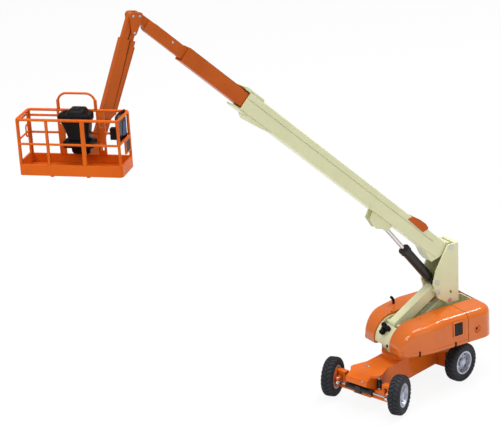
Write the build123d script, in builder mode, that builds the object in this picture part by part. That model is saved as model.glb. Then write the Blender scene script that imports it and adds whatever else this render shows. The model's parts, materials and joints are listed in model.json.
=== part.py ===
from build123d import *
import os
from math import atan2, cos, degrees, radians, sin

# Scale model of an articulating boom lift with a telescoping boom and a jib, in millimetres.
# Frame: origin on the flat underside of the chassis on the swing axis, +X forward, +Y left, +Z up.
# It stands in the stored pose: front wheels steered left, turntable swung to the right, boom raised.

# Stored pose, in degrees
STEER_REST = 20.0
SWING_REST = -15.8
TOWER_REST = 31.0
BOOM_REST = 43.3
JIB_REST = -67.2
BASKET_REST = 45.0

# Running gear
GROUND_CLEARANCE = 9.4
WHEELBASE = 78.0
TRACK = 64.0
TYRE_DIAMETER = 31.4
TYRE_WIDTH = 9.6
RIM_RADIUS = 9.4
RIM_WALL = 1.2
HUB_RADIUS = 3.4
SPINDLE_RADIUS = 1.5
RUNNING_FIT = 0.05
KINGPIN_Y = 25.0
KINGPIN_RADIUS = 1.2
KNUCKLE_SIZE = 5.0
KNUCKLE_HEIGHT = 9.0
YOKE_WALL = 2.2
YOKE_GAP = 0.15
YOKE_WEB = 2.2
YOKE_SETBACK = 1.6
STEER_ARM = 7.6
STEER_PIN_RADIUS = 0.7
ROD_RADIUS = 0.9
STEER_CYLINDER_RADIUS = 2.3
STEER_CYLINDER_LENGTH = 26.0
LOCKOUT_RADIUS = 2.0
LOCKOUT_ROD_RADIUS = 1.3
LOCKOUT_Y = 12.7

# Chassis beam
CHASSIS_HEIGHT = 18.6
CHASSIS_TOP_WIDTH = 21.0
CHASSIS_WIDE_WIDTH = 27.0
CHASSIS_CHAMFER = 3.0
AXLE_BOX_LENGTH = 9.4
AXLE_BOX_HEIGHT = 12.6
AXLE_BOX_WIDTH = 17.2
AXLE_BEAM_HEIGHT = 6.5
RING_RADIUS = 12.0
RING_HEIGHT = 4.0
POST_RADIUS = 5.0
DECK_GAP = 0.2

# Turntable
DECK_HEIGHT = 4.8
DECK_THICKNESS = 1.8
HOOD_HEIGHT = 24.4
HOOD_NOSE = 14.0
TURNTABLE_WIDTH = 66.0
TURNTABLE_REAR = -72.0
JOINT_X = -45.5
JOINT_GAP = 0.5
TROUGH_WIDTH = 18.8
TROUGH_WALL = 0.9
TROUGH_GAP = 0.2
TROUGH_DROP = 3.0
REAR_CORNER = 12.0
EDGE_ROUND = 6.0
DECK_WIDTH = 36.0

# Tower and upright: the foot over the deck, the other pivots from the tower's head
TOWER_FOOT_X = 0.5
TOWER_FOOT_RISE = 16.4
TOWER_LENGTH = 40.9
LINK_OFFSET = (-11.0, -9.2)
BOOM_PIVOT_OFFSET = (-13.5, 34.2)
CYLINDER_PIVOT_OFFSET = (0.4, 8.1)
UPRIGHT_OUTLINE = (
    # x, height from the tower's head
    (-20.5, 36.8),
    (-10.6, 36.6),
    (1.2, 17.4),
    (4.0, 6.9),
    (-0.1, -5.4),
    (-9.3, -11.7),
    (-19.7, -11.9),
)
PIN_RADIUS = 1.5
TOWER_DEPTH = 8.7
TOWER_WIDTH = 8.0
LINK_DEPTH = 4.2
LINK_WIDTH = 6.0
UPRIGHT_WIDTH = 17.6
UPRIGHT_WALL = 1.5

# Boom sections, measured along the boom from its pivot
BOOM_DROP = 6.6
BASE_START = 4.0
BASE_END = 232.8
BASE_HEIGHT = 14.5
BASE_WIDTH = 12.5
BASE_WALL = 1.1
MID_START = 95.0
MID_END = 295.0
MID_HEIGHT = 11.4
MID_WIDTH = 9.4
MID_WALL = 1.0
FLY_START = 143.0
FLY_END = 333.0
FLY_HEIGHT = 8.6
FLY_WIDTH = 6.6
FLY_WALL = 0.9
ELBOW_REACH = 8.7
ELBOW_RISE = -4.8

# Lift cylinder
EYE = (60.0, -17.8)
BARREL_RADIUS = 3.9
BARREL_LENGTH = 40.0
BARREL_LUG_RADIUS = 3.2
LIFT_ROD_RADIUS = 1.7
LIFT_ROD_LENGTH = 43.5
EYE_RADIUS = 1.8

# Elbow, jib and platform bracket
SMALL_PIN = 0.9
LUG_WIDTH = 4.2
CHEEK_GAP = 0.25
CHEEK_WALL = 1.4
JIB_PIVOT_OFFSET = (5.0, 0.9)
JIB_LINK_OFFSET = (4.9, -10.9)
JIB_LENGTH = 85.9
JIB_WIDTH = 4.6
JIB_ABOVE = 3.5
JIB_BELOW = 2.3
JIB_SKIRT = 8.0
JIB_SKIRT_WALL = 0.5
JIB_SKIRT_END = 72.5
JIB_BOX_START = 16.5
JIB_LINK_WIDTH = 3.2
JIB_LINK_BELOW = 4.6
ROTATOR_OFFSET = 7.7
SLEEVE_RADIUS = 3.4
ROTATOR_RADIUS = 1.6

# Basket, in its own frame: x outwards from the rotator axis, y along the basket
BASKET_BACK = 12.0
BASKET_DEPTH = 25.4
BASKET_LENGTH = 73.2
BASKET_HEIGHT = 40.0
BASKET_DROP = 14.9
TRAY_HEIGHT = 7.6
TRAY_WALL = 1.4
RAIL = 2.0
MID_RAIL_SIZE = 1.6
MID_RAIL_HEIGHT = 22.4
RAIL_CORNER = 2.0
TRAY_CORNER = 2.5

os.makedirs("parts", exist_ok=True)

AXLE_Z = TYRE_DIAMETER / 2 - GROUND_CLEARANCE
FRONT_X = WHEELBASE / 2
HALF_TRACK = TRACK / 2


def heading(angle, x, y=0.0, z=0.0):
    """Turn a point or direction about the swing axis."""
    a = radians(angle)
    return Vector(x * cos(a) - y * sin(a), x * sin(a) + y * cos(a), z)


def side(x, z, pitch=0.0, swing=SWING_REST):
    """Upright plane through a pivot: local x runs along the pitch, local y rises, z points right."""
    p = radians(pitch)
    along = heading(swing, cos(p), 0, sin(p))
    return Plane(origin=heading(swing, x, 0, z), x_dir=along, z_dir=heading(swing, 0, -1, 0))


def across(plane, along, rise=0.0):
    """Plane square to a side plane's x direction: local x points left, local y rises."""
    origin = plane.from_local_coords((along, rise, 0))
    return Plane(origin=origin, x_dir=-plane.z_dir, z_dir=plane.x_dir)


def level(z, swing=SWING_REST, x=0.0, y=0.0, turn=0.0):
    """Level plane whose local x points forward in a swung frame."""
    return Plane(origin=heading(swing, x, y, z), x_dir=heading(swing + turn, 1), z_dir=(0, 0, 1))


def step(piece, name):
    """Label a finished piece and write its file."""
    piece.part.label = name
    export_step(piece.part, "parts/" + name + ".step")


def slab(width):
    """Extrude the sketch just drawn evenly to both sides of its plane."""
    extrude(amount=width / 2, both=True)


CHASSIS_SIDE = side(0, 0, swing=0)
BODY_SIDE = side(0, 0)


def shifted(point, offset):
    """A side-view point moved by an offset."""
    return (point[0] + offset[0], point[1] + offset[1])


DECK_BOTTOM = CHASSIS_HEIGHT + RING_HEIGHT + DECK_GAP
HOOD_BOTTOM = DECK_BOTTOM + DECK_HEIGHT
HOOD_TOP = HOOD_BOTTOM + HOOD_HEIGHT
TOWER_PITCH = 180 - TOWER_REST
TOWER_VECTOR = (TOWER_LENGTH * cos(radians(TOWER_PITCH)), TOWER_LENGTH * sin(radians(TOWER_PITCH)))
TOWER_FOOT = (TOWER_FOOT_X, HOOD_BOTTOM + TOWER_FOOT_RISE)
TOWER_HEAD = shifted(TOWER_FOOT, TOWER_VECTOR)
LINK_FOOT = shifted(TOWER_FOOT, LINK_OFFSET)
LINK_HEAD = shifted(TOWER_HEAD, LINK_OFFSET)
BOOM_PIVOT = shifted(TOWER_HEAD, BOOM_PIVOT_OFFSET)
CYLINDER_PIVOT = shifted(TOWER_HEAD, CYLINDER_PIVOT_OFFSET)
TOWER_SIDE = side(*TOWER_FOOT, pitch=TOWER_PITCH)
LINK_SIDE = side(*LINK_FOOT, pitch=TOWER_PITCH)
BOOM_SIDE = side(*BOOM_PIVOT, pitch=BOOM_REST)


def boom_point(along, rise):
    """A boom-frame point in the turntable's side view."""
    p = radians(BOOM_REST)
    x = BOOM_PIVOT[0] + along * cos(p) - rise * sin(p)
    z = BOOM_PIVOT[1] + along * sin(p) + rise * cos(p)
    return (x, z)


ELBOW = (FLY_END + ELBOW_REACH, ELBOW_RISE)
ELBOW_POINT = boom_point(*ELBOW)
JIB_PIVOT = shifted(ELBOW_POINT, JIB_PIVOT_OFFSET)
JIB_LINK_PIVOT = shifted(ELBOW_POINT, JIB_LINK_OFFSET)
JIB_VECTOR = (JIB_LENGTH * cos(radians(JIB_REST)), JIB_LENGTH * sin(radians(JIB_REST)))
PLATFORM_PIVOT = shifted(JIB_PIVOT, JIB_VECTOR)
PLATFORM_LINK_PIVOT = shifted(JIB_LINK_PIVOT, JIB_VECTOR)
ROTATOR_X = PLATFORM_PIVOT[0] + ROTATOR_OFFSET
BASKET_BOTTOM = PLATFORM_PIVOT[1] - BASKET_DROP
JIB_SIDE = side(*JIB_PIVOT, pitch=JIB_REST)
EYE_POINT = boom_point(*EYE)
CYLINDER_VECTOR = Vector(EYE_POINT[0] - CYLINDER_PIVOT[0], EYE_POINT[1] - CYLINDER_PIVOT[1])
CYLINDER_PITCH = degrees(atan2(CYLINDER_VECTOR.Y, CYLINDER_VECTOR.X))
CYLINDER_SIDE = side(*CYLINDER_PIVOT, pitch=CYLINDER_PITCH)


def basket_level(z):
    """Level plane with the basket's own axes and its origin on the rotator axis."""
    return level(BASKET_BOTTOM + z, x=ROTATOR_X, turn=BASKET_REST)


# Chassis: one tapering beam with chamfered sides between the two axles
beam_outline = [
    (CHASSIS_TOP_WIDTH / 2, CHASSIS_HEIGHT),
    (CHASSIS_WIDE_WIDTH / 2, CHASSIS_CHAMFER),
    (CHASSIS_WIDE_WIDTH / 2 - CHASSIS_CHAMFER, 0),
    (-CHASSIS_WIDE_WIDTH / 2 + CHASSIS_CHAMFER, 0),
    (-CHASSIS_WIDE_WIDTH / 2, CHASSIS_CHAMFER),
    (-CHASSIS_TOP_WIDTH / 2, CHASSIS_HEIGHT),
]
axle_front = FRONT_X + AXLE_BOX_LENGTH / 2
axle_back = FRONT_X - AXLE_BOX_LENGTH / 2
lockout_x = FRONT_X - 2.0
nose_wall = 1.6
nose_plate = 2.0
nose_reach = 11.0
nose_flat = 4.7
NOSE_SIDE = (
    # x from the front axle, z: side view of the hollow nose over the axle box
    (-9.0, CHASSIS_HEIGHT),
    (nose_flat, CHASSIS_HEIGHT),
    (nose_reach, CHASSIS_HEIGHT - 3.3),
    (nose_reach, CHASSIS_HEIGHT - 7.1),
    (2.0, AXLE_Z),
    (-AXLE_BOX_LENGTH / 2, AXLE_Z),
)
NOSE_FLARE = (
    # x from the front axle, y: top plate that the lockout cylinders reach
    (-15.0, CHASSIS_TOP_WIDTH / 2),
    (-3.5, LOCKOUT_Y + 2.0),
    (0.0, LOCKOUT_Y + 2.0),
    (nose_flat, CHASSIS_TOP_WIDTH / 2),
)

with BuildPart() as chassis_frame:
    with BuildSketch(across(CHASSIS_SIDE, -axle_back)):
        Polygon(*beam_outline, align=None)
    extrude(amount=2 * axle_back)
    # round seat for the slewing ring
    with BuildSketch(Plane.XY.offset(CHASSIS_HEIGHT - RING_HEIGHT)):
        Circle(RING_RADIUS)
    extrude(amount=RING_HEIGHT)
    # hollow nose over the axle box, open below
    with BuildSketch(side(FRONT_X, 0, swing=0)):
        Polygon(*NOSE_SIDE, align=None)
    slab(CHASSIS_TOP_WIDTH)
    with BuildSketch(Plane.XY):
        with Locations((axle_back, 0)):
            Rectangle(
                FRONT_X + nose_reach - nose_plate - axle_back, CHASSIS_TOP_WIDTH - 2 * nose_wall,
                align=(Align.MIN, Align.CENTER),
            )
    extrude(amount=CHASSIS_HEIGHT - nose_plate, mode=Mode.SUBTRACT)
    with BuildSketch(Plane.XY.offset(CHASSIS_HEIGHT - nose_plate)):
        with Locations((FRONT_X, 0)):
            Polygon(*NOSE_FLARE, *((x, -y) for x, y in reversed(NOSE_FLARE)), align=None)
    extrude(amount=nose_plate)
step(chassis_frame, "chassis_frame")

yoke_reach = KNUCKLE_HEIGHT / 2 + YOKE_GAP
yoke_end = KINGPIN_Y + KNUCKLE_SIZE / 2
yoke_start = KINGPIN_Y - KNUCKLE_SIZE / 2 - YOKE_SETBACK

with BuildPart() as front_axle:
    # centre box, then the lower beam out to the yokes
    with BuildSketch(Plane.XY):
        with Locations((FRONT_X, 0)):
            Rectangle(AXLE_BOX_LENGTH, AXLE_BOX_WIDTH)
    extrude(amount=AXLE_BOX_HEIGHT)
    with BuildSketch(Plane.XY.offset(AXLE_Z - yoke_reach - YOKE_WALL)):
        with Locations((FRONT_X, 0)):
            Rectangle(KNUCKLE_SIZE, 2 * yoke_start)
    extrude(amount=AXLE_BEAM_HEIGHT)
    # seats that carry the lockout cylinders
    with BuildSketch(Plane.XY.offset(AXLE_Z - yoke_reach - YOKE_WALL)):
        with Locations((lockout_x, LOCKOUT_Y), (lockout_x, -LOCKOUT_Y)):
            Circle(LOCKOUT_RADIUS)
    extrude(amount=AXLE_BEAM_HEIGHT)
    # upright webs and the two plates of each yoke
    for way in (1, -1):
        with BuildSketch(Plane.XY.offset(AXLE_Z - yoke_reach - YOKE_WALL)):
            with Locations((FRONT_X, way * (yoke_start - YOKE_WEB / 2))):
                Rectangle(KNUCKLE_SIZE, YOKE_WEB)
        extrude(amount=2 * (yoke_reach + YOKE_WALL))
        for bottom in (AXLE_Z - yoke_reach - YOKE_WALL, AXLE_Z + yoke_reach):
            with BuildSketch(Plane.XY.offset(bottom)):
                with Locations((FRONT_X, way * (yoke_start + KINGPIN_Y) / 2)):
                    Rectangle(KNUCKLE_SIZE, KINGPIN_Y - yoke_start)
                with Locations((FRONT_X, way * KINGPIN_Y)):
                    Circle(KNUCKLE_SIZE / 2)
                with Locations((FRONT_X, way * KINGPIN_Y)):
                    Circle(KINGPIN_RADIUS + RUNNING_FIT, mode=Mode.SUBTRACT)
            extrude(amount=YOKE_WALL)
step(front_axle, "front_axle")

with BuildPart() as rear_axle:
    with BuildSketch(Plane.XY):
        with Locations((-FRONT_X, 0)):
            Rectangle(AXLE_BOX_LENGTH, 2 * yoke_start)
    extrude(amount=AXLE_BOX_HEIGHT)
    # drive motor drums and the spindles that the wheels turn on
    with BuildSketch(side(-FRONT_X, AXLE_Z, swing=0)):
        Circle(AXLE_BOX_LENGTH / 2)
    slab(2 * yoke_end)
    with BuildSketch(side(-FRONT_X, AXLE_Z, swing=0)):
        Circle(SPINDLE_RADIUS)
    slab(TRACK + 0.6 * TYRE_WIDTH)
step(rear_axle, "rear_axle")

LOCKOUT_STEPS = (
    # bottom, top, radius: lower joint, barrel and rod of each lockout cylinder
    (AXLE_Z - yoke_reach - YOKE_WALL + AXLE_BEAM_HEIGHT, AXLE_Z + 1.2, LOCKOUT_ROD_RADIUS),
    (AXLE_Z + 1.2, AXLE_Z + 6.2, LOCKOUT_RADIUS),
    (AXLE_Z + 6.2, CHASSIS_HEIGHT - nose_plate, LOCKOUT_ROD_RADIUS),
)

with BuildPart() as lockout_cylinders:
    for low_z, high_z, radius in LOCKOUT_STEPS:
        with BuildSketch(Plane.XY.offset(low_z)):
            with Locations((lockout_x, LOCKOUT_Y), (lockout_x, -LOCKOUT_Y)):
                Circle(radius)
        extrude(amount=high_z - low_z)
step(lockout_cylinders, "lockout_cylinders")

steer_x = FRONT_X + STEER_ARM * cos(radians(STEER_REST)) - 0.1
steer_shift = STEER_ARM * sin(radians(STEER_REST))

with BuildPart() as steer_cylinder:
    with BuildSketch(side(steer_x, AXLE_Z, swing=0)):
        Circle(STEER_CYLINDER_RADIUS)
    slab(STEER_CYLINDER_LENGTH)
    # clamp block bolted to the front of the axle box
    with BuildSketch(Plane(origin=(axle_front, 0, AXLE_Z), x_dir=(0, 1, 0), z_dir=(1, 0, 0))):
        Rectangle(0.2 * STEER_CYLINDER_LENGTH, 2.4 * STEER_CYLINDER_RADIUS)
    extrude(amount=steer_x - axle_front + 1.1 * STEER_CYLINDER_RADIUS)
    with BuildSketch(side(steer_x, AXLE_Z, swing=0)):
        Circle(ROD_RADIUS + RUNNING_FIT)
    extrude(amount=STEER_CYLINDER_LENGTH, both=True, mode=Mode.SUBTRACT)
step(steer_cylinder, "steer_cylinder")

arm_wall = 1.6
arm_gap = 0.3

for name, way in (("left", 1), ("right", -1)):
    hub = level(AXLE_Z, swing=0, x=FRONT_X, y=way * KINGPIN_Y, turn=STEER_REST)
    with BuildPart() as knuckle:
        with BuildSketch(hub.offset(-KNUCKLE_HEIGHT / 2)):
            Circle(KNUCKLE_SIZE / 2)
        extrude(amount=KNUCKLE_HEIGHT)
        with BuildSketch(hub):
            Circle(KINGPIN_RADIUS)
        extrude(amount=yoke_reach + YOKE_WALL, both=True)
        # spindle out through the wheel
        spindle = Plane(origin=hub.origin, x_dir=hub.x_dir, z_dir=hub.y_dir * way)
        with BuildSketch(spindle):
            Circle(SPINDLE_RADIUS)
        extrude(amount=HALF_TRACK - KINGPIN_Y + 0.3 * TYRE_WIDTH)
        # steering arm over the rod's eye, with its pin
        with BuildSketch(hub.offset(ROD_RADIUS + arm_gap)):
            SlotCenterPoint((STEER_ARM / 2, 0), (STEER_ARM, 0), 3.2)
        extrude(amount=arm_wall)
        with BuildSketch(hub.offset(-ROD_RADIUS)):
            with Locations((STEER_ARM, 0)):
                Circle(STEER_PIN_RADIUS)
        extrude(amount=2 * ROD_RADIUS + arm_gap)
    step(knuckle, "knuckle_" + name)

with BuildPart() as steer_rod:
    eye_reach = KINGPIN_Y - 1.6
    rod_plane = Plane(origin=(steer_x, steer_shift, AXLE_Z), x_dir=(1, 0, 0), z_dir=(0, 1, 0))
    with BuildSketch(rod_plane):
        Circle(ROD_RADIUS)
    extrude(amount=eye_reach, both=True)
    # slotted eyes around the arms' pins
    with BuildSketch(Plane.XY.offset(AXLE_Z - ROD_RADIUS)):
        for way in (1, -1):
            with Locations((steer_x, steer_shift + way * KINGPIN_Y)):
                SlotCenterToCenter(2.0, 3.6)
                SlotCenterToCenter(2.0, 2 * (STEER_PIN_RADIUS + arm_gap), mode=Mode.SUBTRACT)
    extrude(amount=2 * ROD_RADIUS)
step(steer_rod, "steer_rod")


def wheel_plane(x, way, turn):
    """Plane through a wheel's middle: local z points outwards along the spindle."""
    hub = level(AXLE_Z, swing=0, x=x, y=way * KINGPIN_Y, turn=turn)
    out = HALF_TRACK - KINGPIN_Y
    return Plane(origin=hub.origin + hub.y_dir * way * out, x_dir=hub.x_dir, z_dir=hub.y_dir * way)


WHEELS = (
    # name, x, way, turn
    ("front_left", FRONT_X, 1, STEER_REST),
    ("front_right", FRONT_X, -1, STEER_REST),
    ("rear_left", -FRONT_X, 1, 0.0),
    ("rear_right", -FRONT_X, -1, 0.0),
)

half = TYRE_WIDTH / 2
tyre_r = TYRE_DIAMETER / 2
shoulder = 1.6
bead = 0.8

for name, x, way, turn in WHEELS:
    middle = wheel_plane(x, way, turn)
    # the section is drawn with local x as radius and local y along the spindle
    section = Plane(origin=middle.origin, x_dir=middle.x_dir, z_dir=-middle.y_dir)
    spin_axis = Axis(middle.origin, middle.z_dir)
    with BuildPart() as tyre:
        with BuildSketch(section):
            Polygon(
                (RIM_RADIUS, -half + bead),
                (RIM_RADIUS + 2 * bead, -half),
                (tyre_r - shoulder, -half),
                (tyre_r, -half + shoulder),
                (tyre_r, half - shoulder),
                (tyre_r - shoulder, half),
                (RIM_RADIUS + 2 * bead, half),
                (RIM_RADIUS, half - bead),
                align=None,
            )
        revolve(axis=spin_axis)
    step(tyre, "tyre_" + name)
    with BuildPart() as rim:
        # barrel, dished web and hub boss
        with BuildSketch(section):
            Polygon(
                (SPINDLE_RADIUS + RUNNING_FIT, 0.25 * TYRE_WIDTH),
                (SPINDLE_RADIUS + RUNNING_FIT, -0.1 * TYRE_WIDTH),
                (HUB_RADIUS, -0.1 * TYRE_WIDTH),
                (RIM_RADIUS - RIM_WALL, -0.05 * TYRE_WIDTH),
                (RIM_RADIUS - RIM_WALL, -half + bead),
                (RIM_RADIUS, -half + bead),
                (RIM_RADIUS, half - bead),
                (RIM_RADIUS - RIM_WALL, half - bead),
                (RIM_RADIUS - 2 * RIM_WALL, 0.08 * TYRE_WIDTH),
                (HUB_RADIUS, 0.08 * TYRE_WIDTH),
                (HUB_RADIUS, 0.25 * TYRE_WIDTH),
                align=None,
            )
        revolve(axis=spin_axis)
    step(rim, "rim_" + name)

# Slewing ring and the centre post that the turntable swings on
with BuildPart() as slew_ring:
    with BuildSketch(Plane.XY.offset(CHASSIS_HEIGHT)):
        Circle(RING_RADIUS)
    extrude(amount=RING_HEIGHT)
    with BuildSketch(Plane.XY.offset(CHASSIS_HEIGHT)):
        Circle(POST_RADIUS)
    extrude(amount=RING_HEIGHT + DECK_GAP + DECK_THICKNESS)
step(slew_ring, "slew_ring")

TROUGH_FLOOR = DECK_BOTTOM + DECK_THICKNESS
TROUGH_HALF = TROUGH_WIDTH / 2
HOOD_INNER = TROUGH_HALF + TROUGH_WALL + TROUGH_GAP


def hood_side():
    """Side outline of the hoods: nearly flat top and a nose that rounds down to a steep front."""
    with BuildLine() as line:
        rise = Line((JOINT_X + JOINT_GAP / 2, HOOD_TOP), (HOOD_NOSE - 38.5, HOOD_TOP))
        fall = Line(rise @ 1, (HOOD_NOSE - 19.5, HOOD_TOP - 2.1))
        front = ThreePointArc(fall @ 1, (HOOD_NOSE - 5.4, HOOD_TOP - 7.8), (HOOD_NOSE + 0.3, HOOD_TOP - 18.0))
        foot = Line(front @ 1, (HOOD_NOSE, HOOD_BOTTOM + 0.9))
        chin = Line(foot @ 1, (HOOD_NOSE - 2.0, HOOD_BOTTOM))
        floor = Line(chin @ 1, (JOINT_X + JOINT_GAP / 2, HOOD_BOTTOM))
        Line(floor @ 1, rise @ 0)
    return line


def hood_plan(way):
    """Outline of one hood from above: straight side, then two arcs round the front corner."""
    wide = TURNTABLE_WIDTH / 2
    with BuildLine() as line:
        start = Line((JOINT_X - 5, way * (HOOD_INNER - 1)), (HOOD_NOSE + 1, way * (HOOD_INNER - 1)))
        front = Line(start @ 1, (HOOD_NOSE + 1, way * (wide - 15.5)))
        corner = ThreePointArc(
            front @ 1, (HOOD_NOSE + 0.2, way * (wide - 10.4)), (HOOD_NOSE - 2.8, way * (wide - 6.8))
        )
        flank = ThreePointArc(
            corner @ 1, (HOOD_NOSE - 14.6, way * (wide - 2.4)), (HOOD_NOSE - 32, way * wide)
        )
        edge = Line(flank @ 1, (JOINT_X - 5, way * wide))
        Line(edge @ 1, start @ 0)
    return line


with BuildPart() as turntable_deck:
    # deck plate under the hoods
    with BuildSketch(level(DECK_BOTTOM)):
        with Locations(((TURNTABLE_REAR + HOOD_NOSE) / 2 - 4, 0)):
            RectangleRounded(HOOD_NOSE - TURNTABLE_REAR - 24, DECK_WIDTH, 10)
        Circle(POST_RADIUS + 3)
        Circle(POST_RADIUS + RUNNING_FIT, mode=Mode.SUBTRACT)
    extrude(amount=HOOD_BOTTOM - DECK_BOTTOM)
    # centre channel between the hoods, closed by a nose at the front
    with BuildSketch(BODY_SIDE):
        with BuildLine():
            top = HOOD_TOP - TROUGH_DROP
            rear = TURNTABLE_REAR + 2 * TROUGH_WALL
            front_top = Line((rear, top), (-5, top - 1.0))
            front = ThreePointArc(
                front_top @ 1, (HOOD_NOSE - 4.6, HOOD_BOTTOM + 14.2), (HOOD_NOSE - 0.6, HOOD_BOTTOM + 5)
            )
            chin = Line(front @ 1, (HOOD_NOSE - 0.6, HOOD_BOTTOM + 3))
            ledge = Line(chin @ 1, (HOOD_NOSE - 7.4, HOOD_BOTTOM + 3))
            under = Line(ledge @ 1, (HOOD_NOSE - 7.4, DECK_BOTTOM))
            back = Line(under @ 1, (rear, DECK_BOTTOM))
            Line(back @ 1, front_top @ 0)
        make_face()
    slab(TROUGH_WIDTH + 2 * TROUGH_WALL)
    with BuildSketch(BODY_SIDE):
        with BuildLine():
            wall_x = TOWER_FOOT_X + TOWER_DEPTH / 2 + 0.7
            floor = Line((rear + 1.2, TROUGH_FLOOR), (wall_x, TROUGH_FLOOR))
            rise = Line(floor @ 1, (wall_x, HOOD_TOP + 5))
            lid = Line(rise @ 1, (rear + 1.2, HOOD_TOP + 5))
            Line(lid @ 1, floor @ 0)
        make_face()
    extrude(amount=TROUGH_HALF, both=True, mode=Mode.SUBTRACT)
    # cut the post's hole through whatever lies over it
    with BuildSketch(level(DECK_BOTTOM)):
        Circle(POST_RADIUS + RUNNING_FIT)
    extrude(amount=DECK_THICKNESS, mode=Mode.SUBTRACT)
    # fixed pins that the tower and its link turn on
    for x, z in (TOWER_FOOT, LINK_FOOT):
        with BuildSketch(side(x, z)):
            Circle(PIN_RADIUS)
        slab(TROUGH_WIDTH + TROUGH_WALL)
step(turntable_deck, "turntable_deck")

hood_width = TURNTABLE_WIDTH / 2 - HOOD_INNER

for name, way in (("left", 1), ("right", -1)):
    with BuildPart() as hood:
        with BuildSketch(BODY_SIDE.offset(-way * HOOD_INNER)):
            make_face(hood_side().edges())
        extrude(amount=-way * hood_width)
        with BuildSketch(level(HOOD_BOTTOM)):
            make_face(hood_plan(way).edges())
        extrude(amount=HOOD_TOP, mode=Mode.INTERSECT)
        # round the edge between the top and the outline, from the joint to the front corner
        rounded = []
        for edge in hood.edges():
            start = BODY_SIDE.to_local_coords(edge @ 0)
            end = BODY_SIDE.to_local_coords(edge @ 1)
            middle = BODY_SIDE.to_local_coords(edge @ 0.5)
            outer = -way * middle.Z > TURNTABLE_WIDTH / 4
            upper = middle.Y > HOOD_BOTTOM + 5
            if outer and upper and abs(start.X - end.X) > 0.01:
                rounded.append(edge)
        fillet(rounded, radius=EDGE_ROUND)
    step(hood, "hood_" + name)

RECESS_AT = (TURNTABLE_REAR + 17.4, HOOD_BOTTOM + 8.8)
RECESS_RADIUS = 3.6
RECESS_DEPTH = 1.6

with BuildPart() as counterweight:
    length = JOINT_X - JOINT_GAP / 2 - TURNTABLE_REAR
    with BuildSketch(level(HOOD_BOTTOM)):
        with Locations((TURNTABLE_REAR + length, 0)):
            RectangleRounded(2 * length, TURNTABLE_WIDTH, REAR_CORNER)
        with Locations((TURNTABLE_REAR + 1.5 * length, 0)):
            Rectangle(length, TURNTABLE_WIDTH, mode=Mode.SUBTRACT)
    extrude(amount=HOOD_TOP - HOOD_BOTTOM)
    top_edges = counterweight.faces().sort_by(Axis.Z)[-1].edges()
    top_edges = top_edges.filter_by(lambda e: BODY_SIDE.to_local_coords(e.center()).X < JOINT_X - 1)
    fillet(top_edges, radius=EDGE_ROUND)
    # slot for the centre channel
    with BuildSketch(level(HOOD_BOTTOM)):
        with Locations(((TURNTABLE_REAR + JOINT_X) / 2 + TROUGH_WALL + 5, 0)):
            Rectangle(JOINT_X - TURNTABLE_REAR + 10 - TROUGH_WALL, 2 * HOOD_INNER)
    extrude(amount=HOOD_TOP, mode=Mode.SUBTRACT)
    # tapered recess with a hole in each flank
    for way in (1, -1):
        flank = side(*RECESS_AT).offset(-way * TURNTABLE_WIDTH / 2)
        with BuildSketch(flank):
            Circle(RECESS_RADIUS)
        extrude(amount=way * RECESS_DEPTH, taper=40, mode=Mode.SUBTRACT)
        with BuildSketch(flank):
            Circle(RECESS_RADIUS / 3)
        extrude(amount=way * 2.5 * RECESS_DEPTH, mode=Mode.SUBTRACT)
step(counterweight, "counterweight")

# Tower: main arm and its levelling link, both with rounded eyes at their pins
LINKS = (
    # name, plane, length, depth, width
    ("tower_boom", TOWER_SIDE, TOWER_LENGTH, TOWER_DEPTH, TOWER_WIDTH),
    ("tower_link", LINK_SIDE, TOWER_LENGTH, LINK_DEPTH, LINK_WIDTH),
)

for name, plane, length, depth, width in LINKS:
    with BuildPart() as arm:
        with BuildSketch(plane):
            with Locations((length / 2, 0)):
                SlotCenterToCenter(length, depth)
            with Locations((0, 0), (length, 0)):
                Circle(PIN_RADIUS + RUNNING_FIT, mode=Mode.SUBTRACT)
        slab(width)
    step(arm, name)

UPRIGHT_SIDE = side(*TOWER_HEAD)
UPRIGHT_PINS = (TOWER_HEAD, LINK_HEAD, BOOM_PIVOT, CYLINDER_PIVOT)
upright_inner = UPRIGHT_WIDTH / 2 - UPRIGHT_WALL
UPRIGHT_HOLE = (-12.5, -2.9)

with BuildPart() as upright:
    with BuildSketch(UPRIGHT_SIDE):
        Polygon(*UPRIGHT_OUTLINE, align=None)
    slab(UPRIGHT_WIDTH)
    # leave two side plates and the rear web
    with BuildSketch(UPRIGHT_SIDE):
        with Locations((UPRIGHT_OUTLINE[0][0] + 2 * UPRIGHT_WALL, 0)):
            Rectangle(TOWER_LENGTH, 2 * TOWER_LENGTH, align=(Align.MIN, Align.CENTER))
    extrude(amount=upright_inner, both=True, mode=Mode.SUBTRACT)
    for pin in UPRIGHT_PINS:
        with BuildSketch(side(*pin)):
            Circle(PIN_RADIUS)
        extrude(amount=UPRIGHT_WIDTH, both=True, mode=Mode.SUBTRACT)
    # oval hole through both side plates
    with BuildSketch(UPRIGHT_SIDE):
        with Locations(UPRIGHT_HOLE):
            SlotOverall(3.0, 1.8, rotation=60)
    extrude(amount=UPRIGHT_WIDTH, both=True, mode=Mode.SUBTRACT)
step(upright, "upright")

pin_head = 0.4

with BuildPart() as upright_pins:
    for pin in UPRIGHT_PINS:
        with BuildSketch(side(*pin)):
            Circle(PIN_RADIUS)
        slab(UPRIGHT_WIDTH + 2 * pin_head)
step(upright_pins, "upright_pins")

# Lift cylinder: barrel on the upright, rod towards the bracket under the boom
barrel_bore = LIFT_ROD_RADIUS + RUNNING_FIT
lug_half = upright_inner - 2.5
barrel_cap = 3.5

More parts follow.
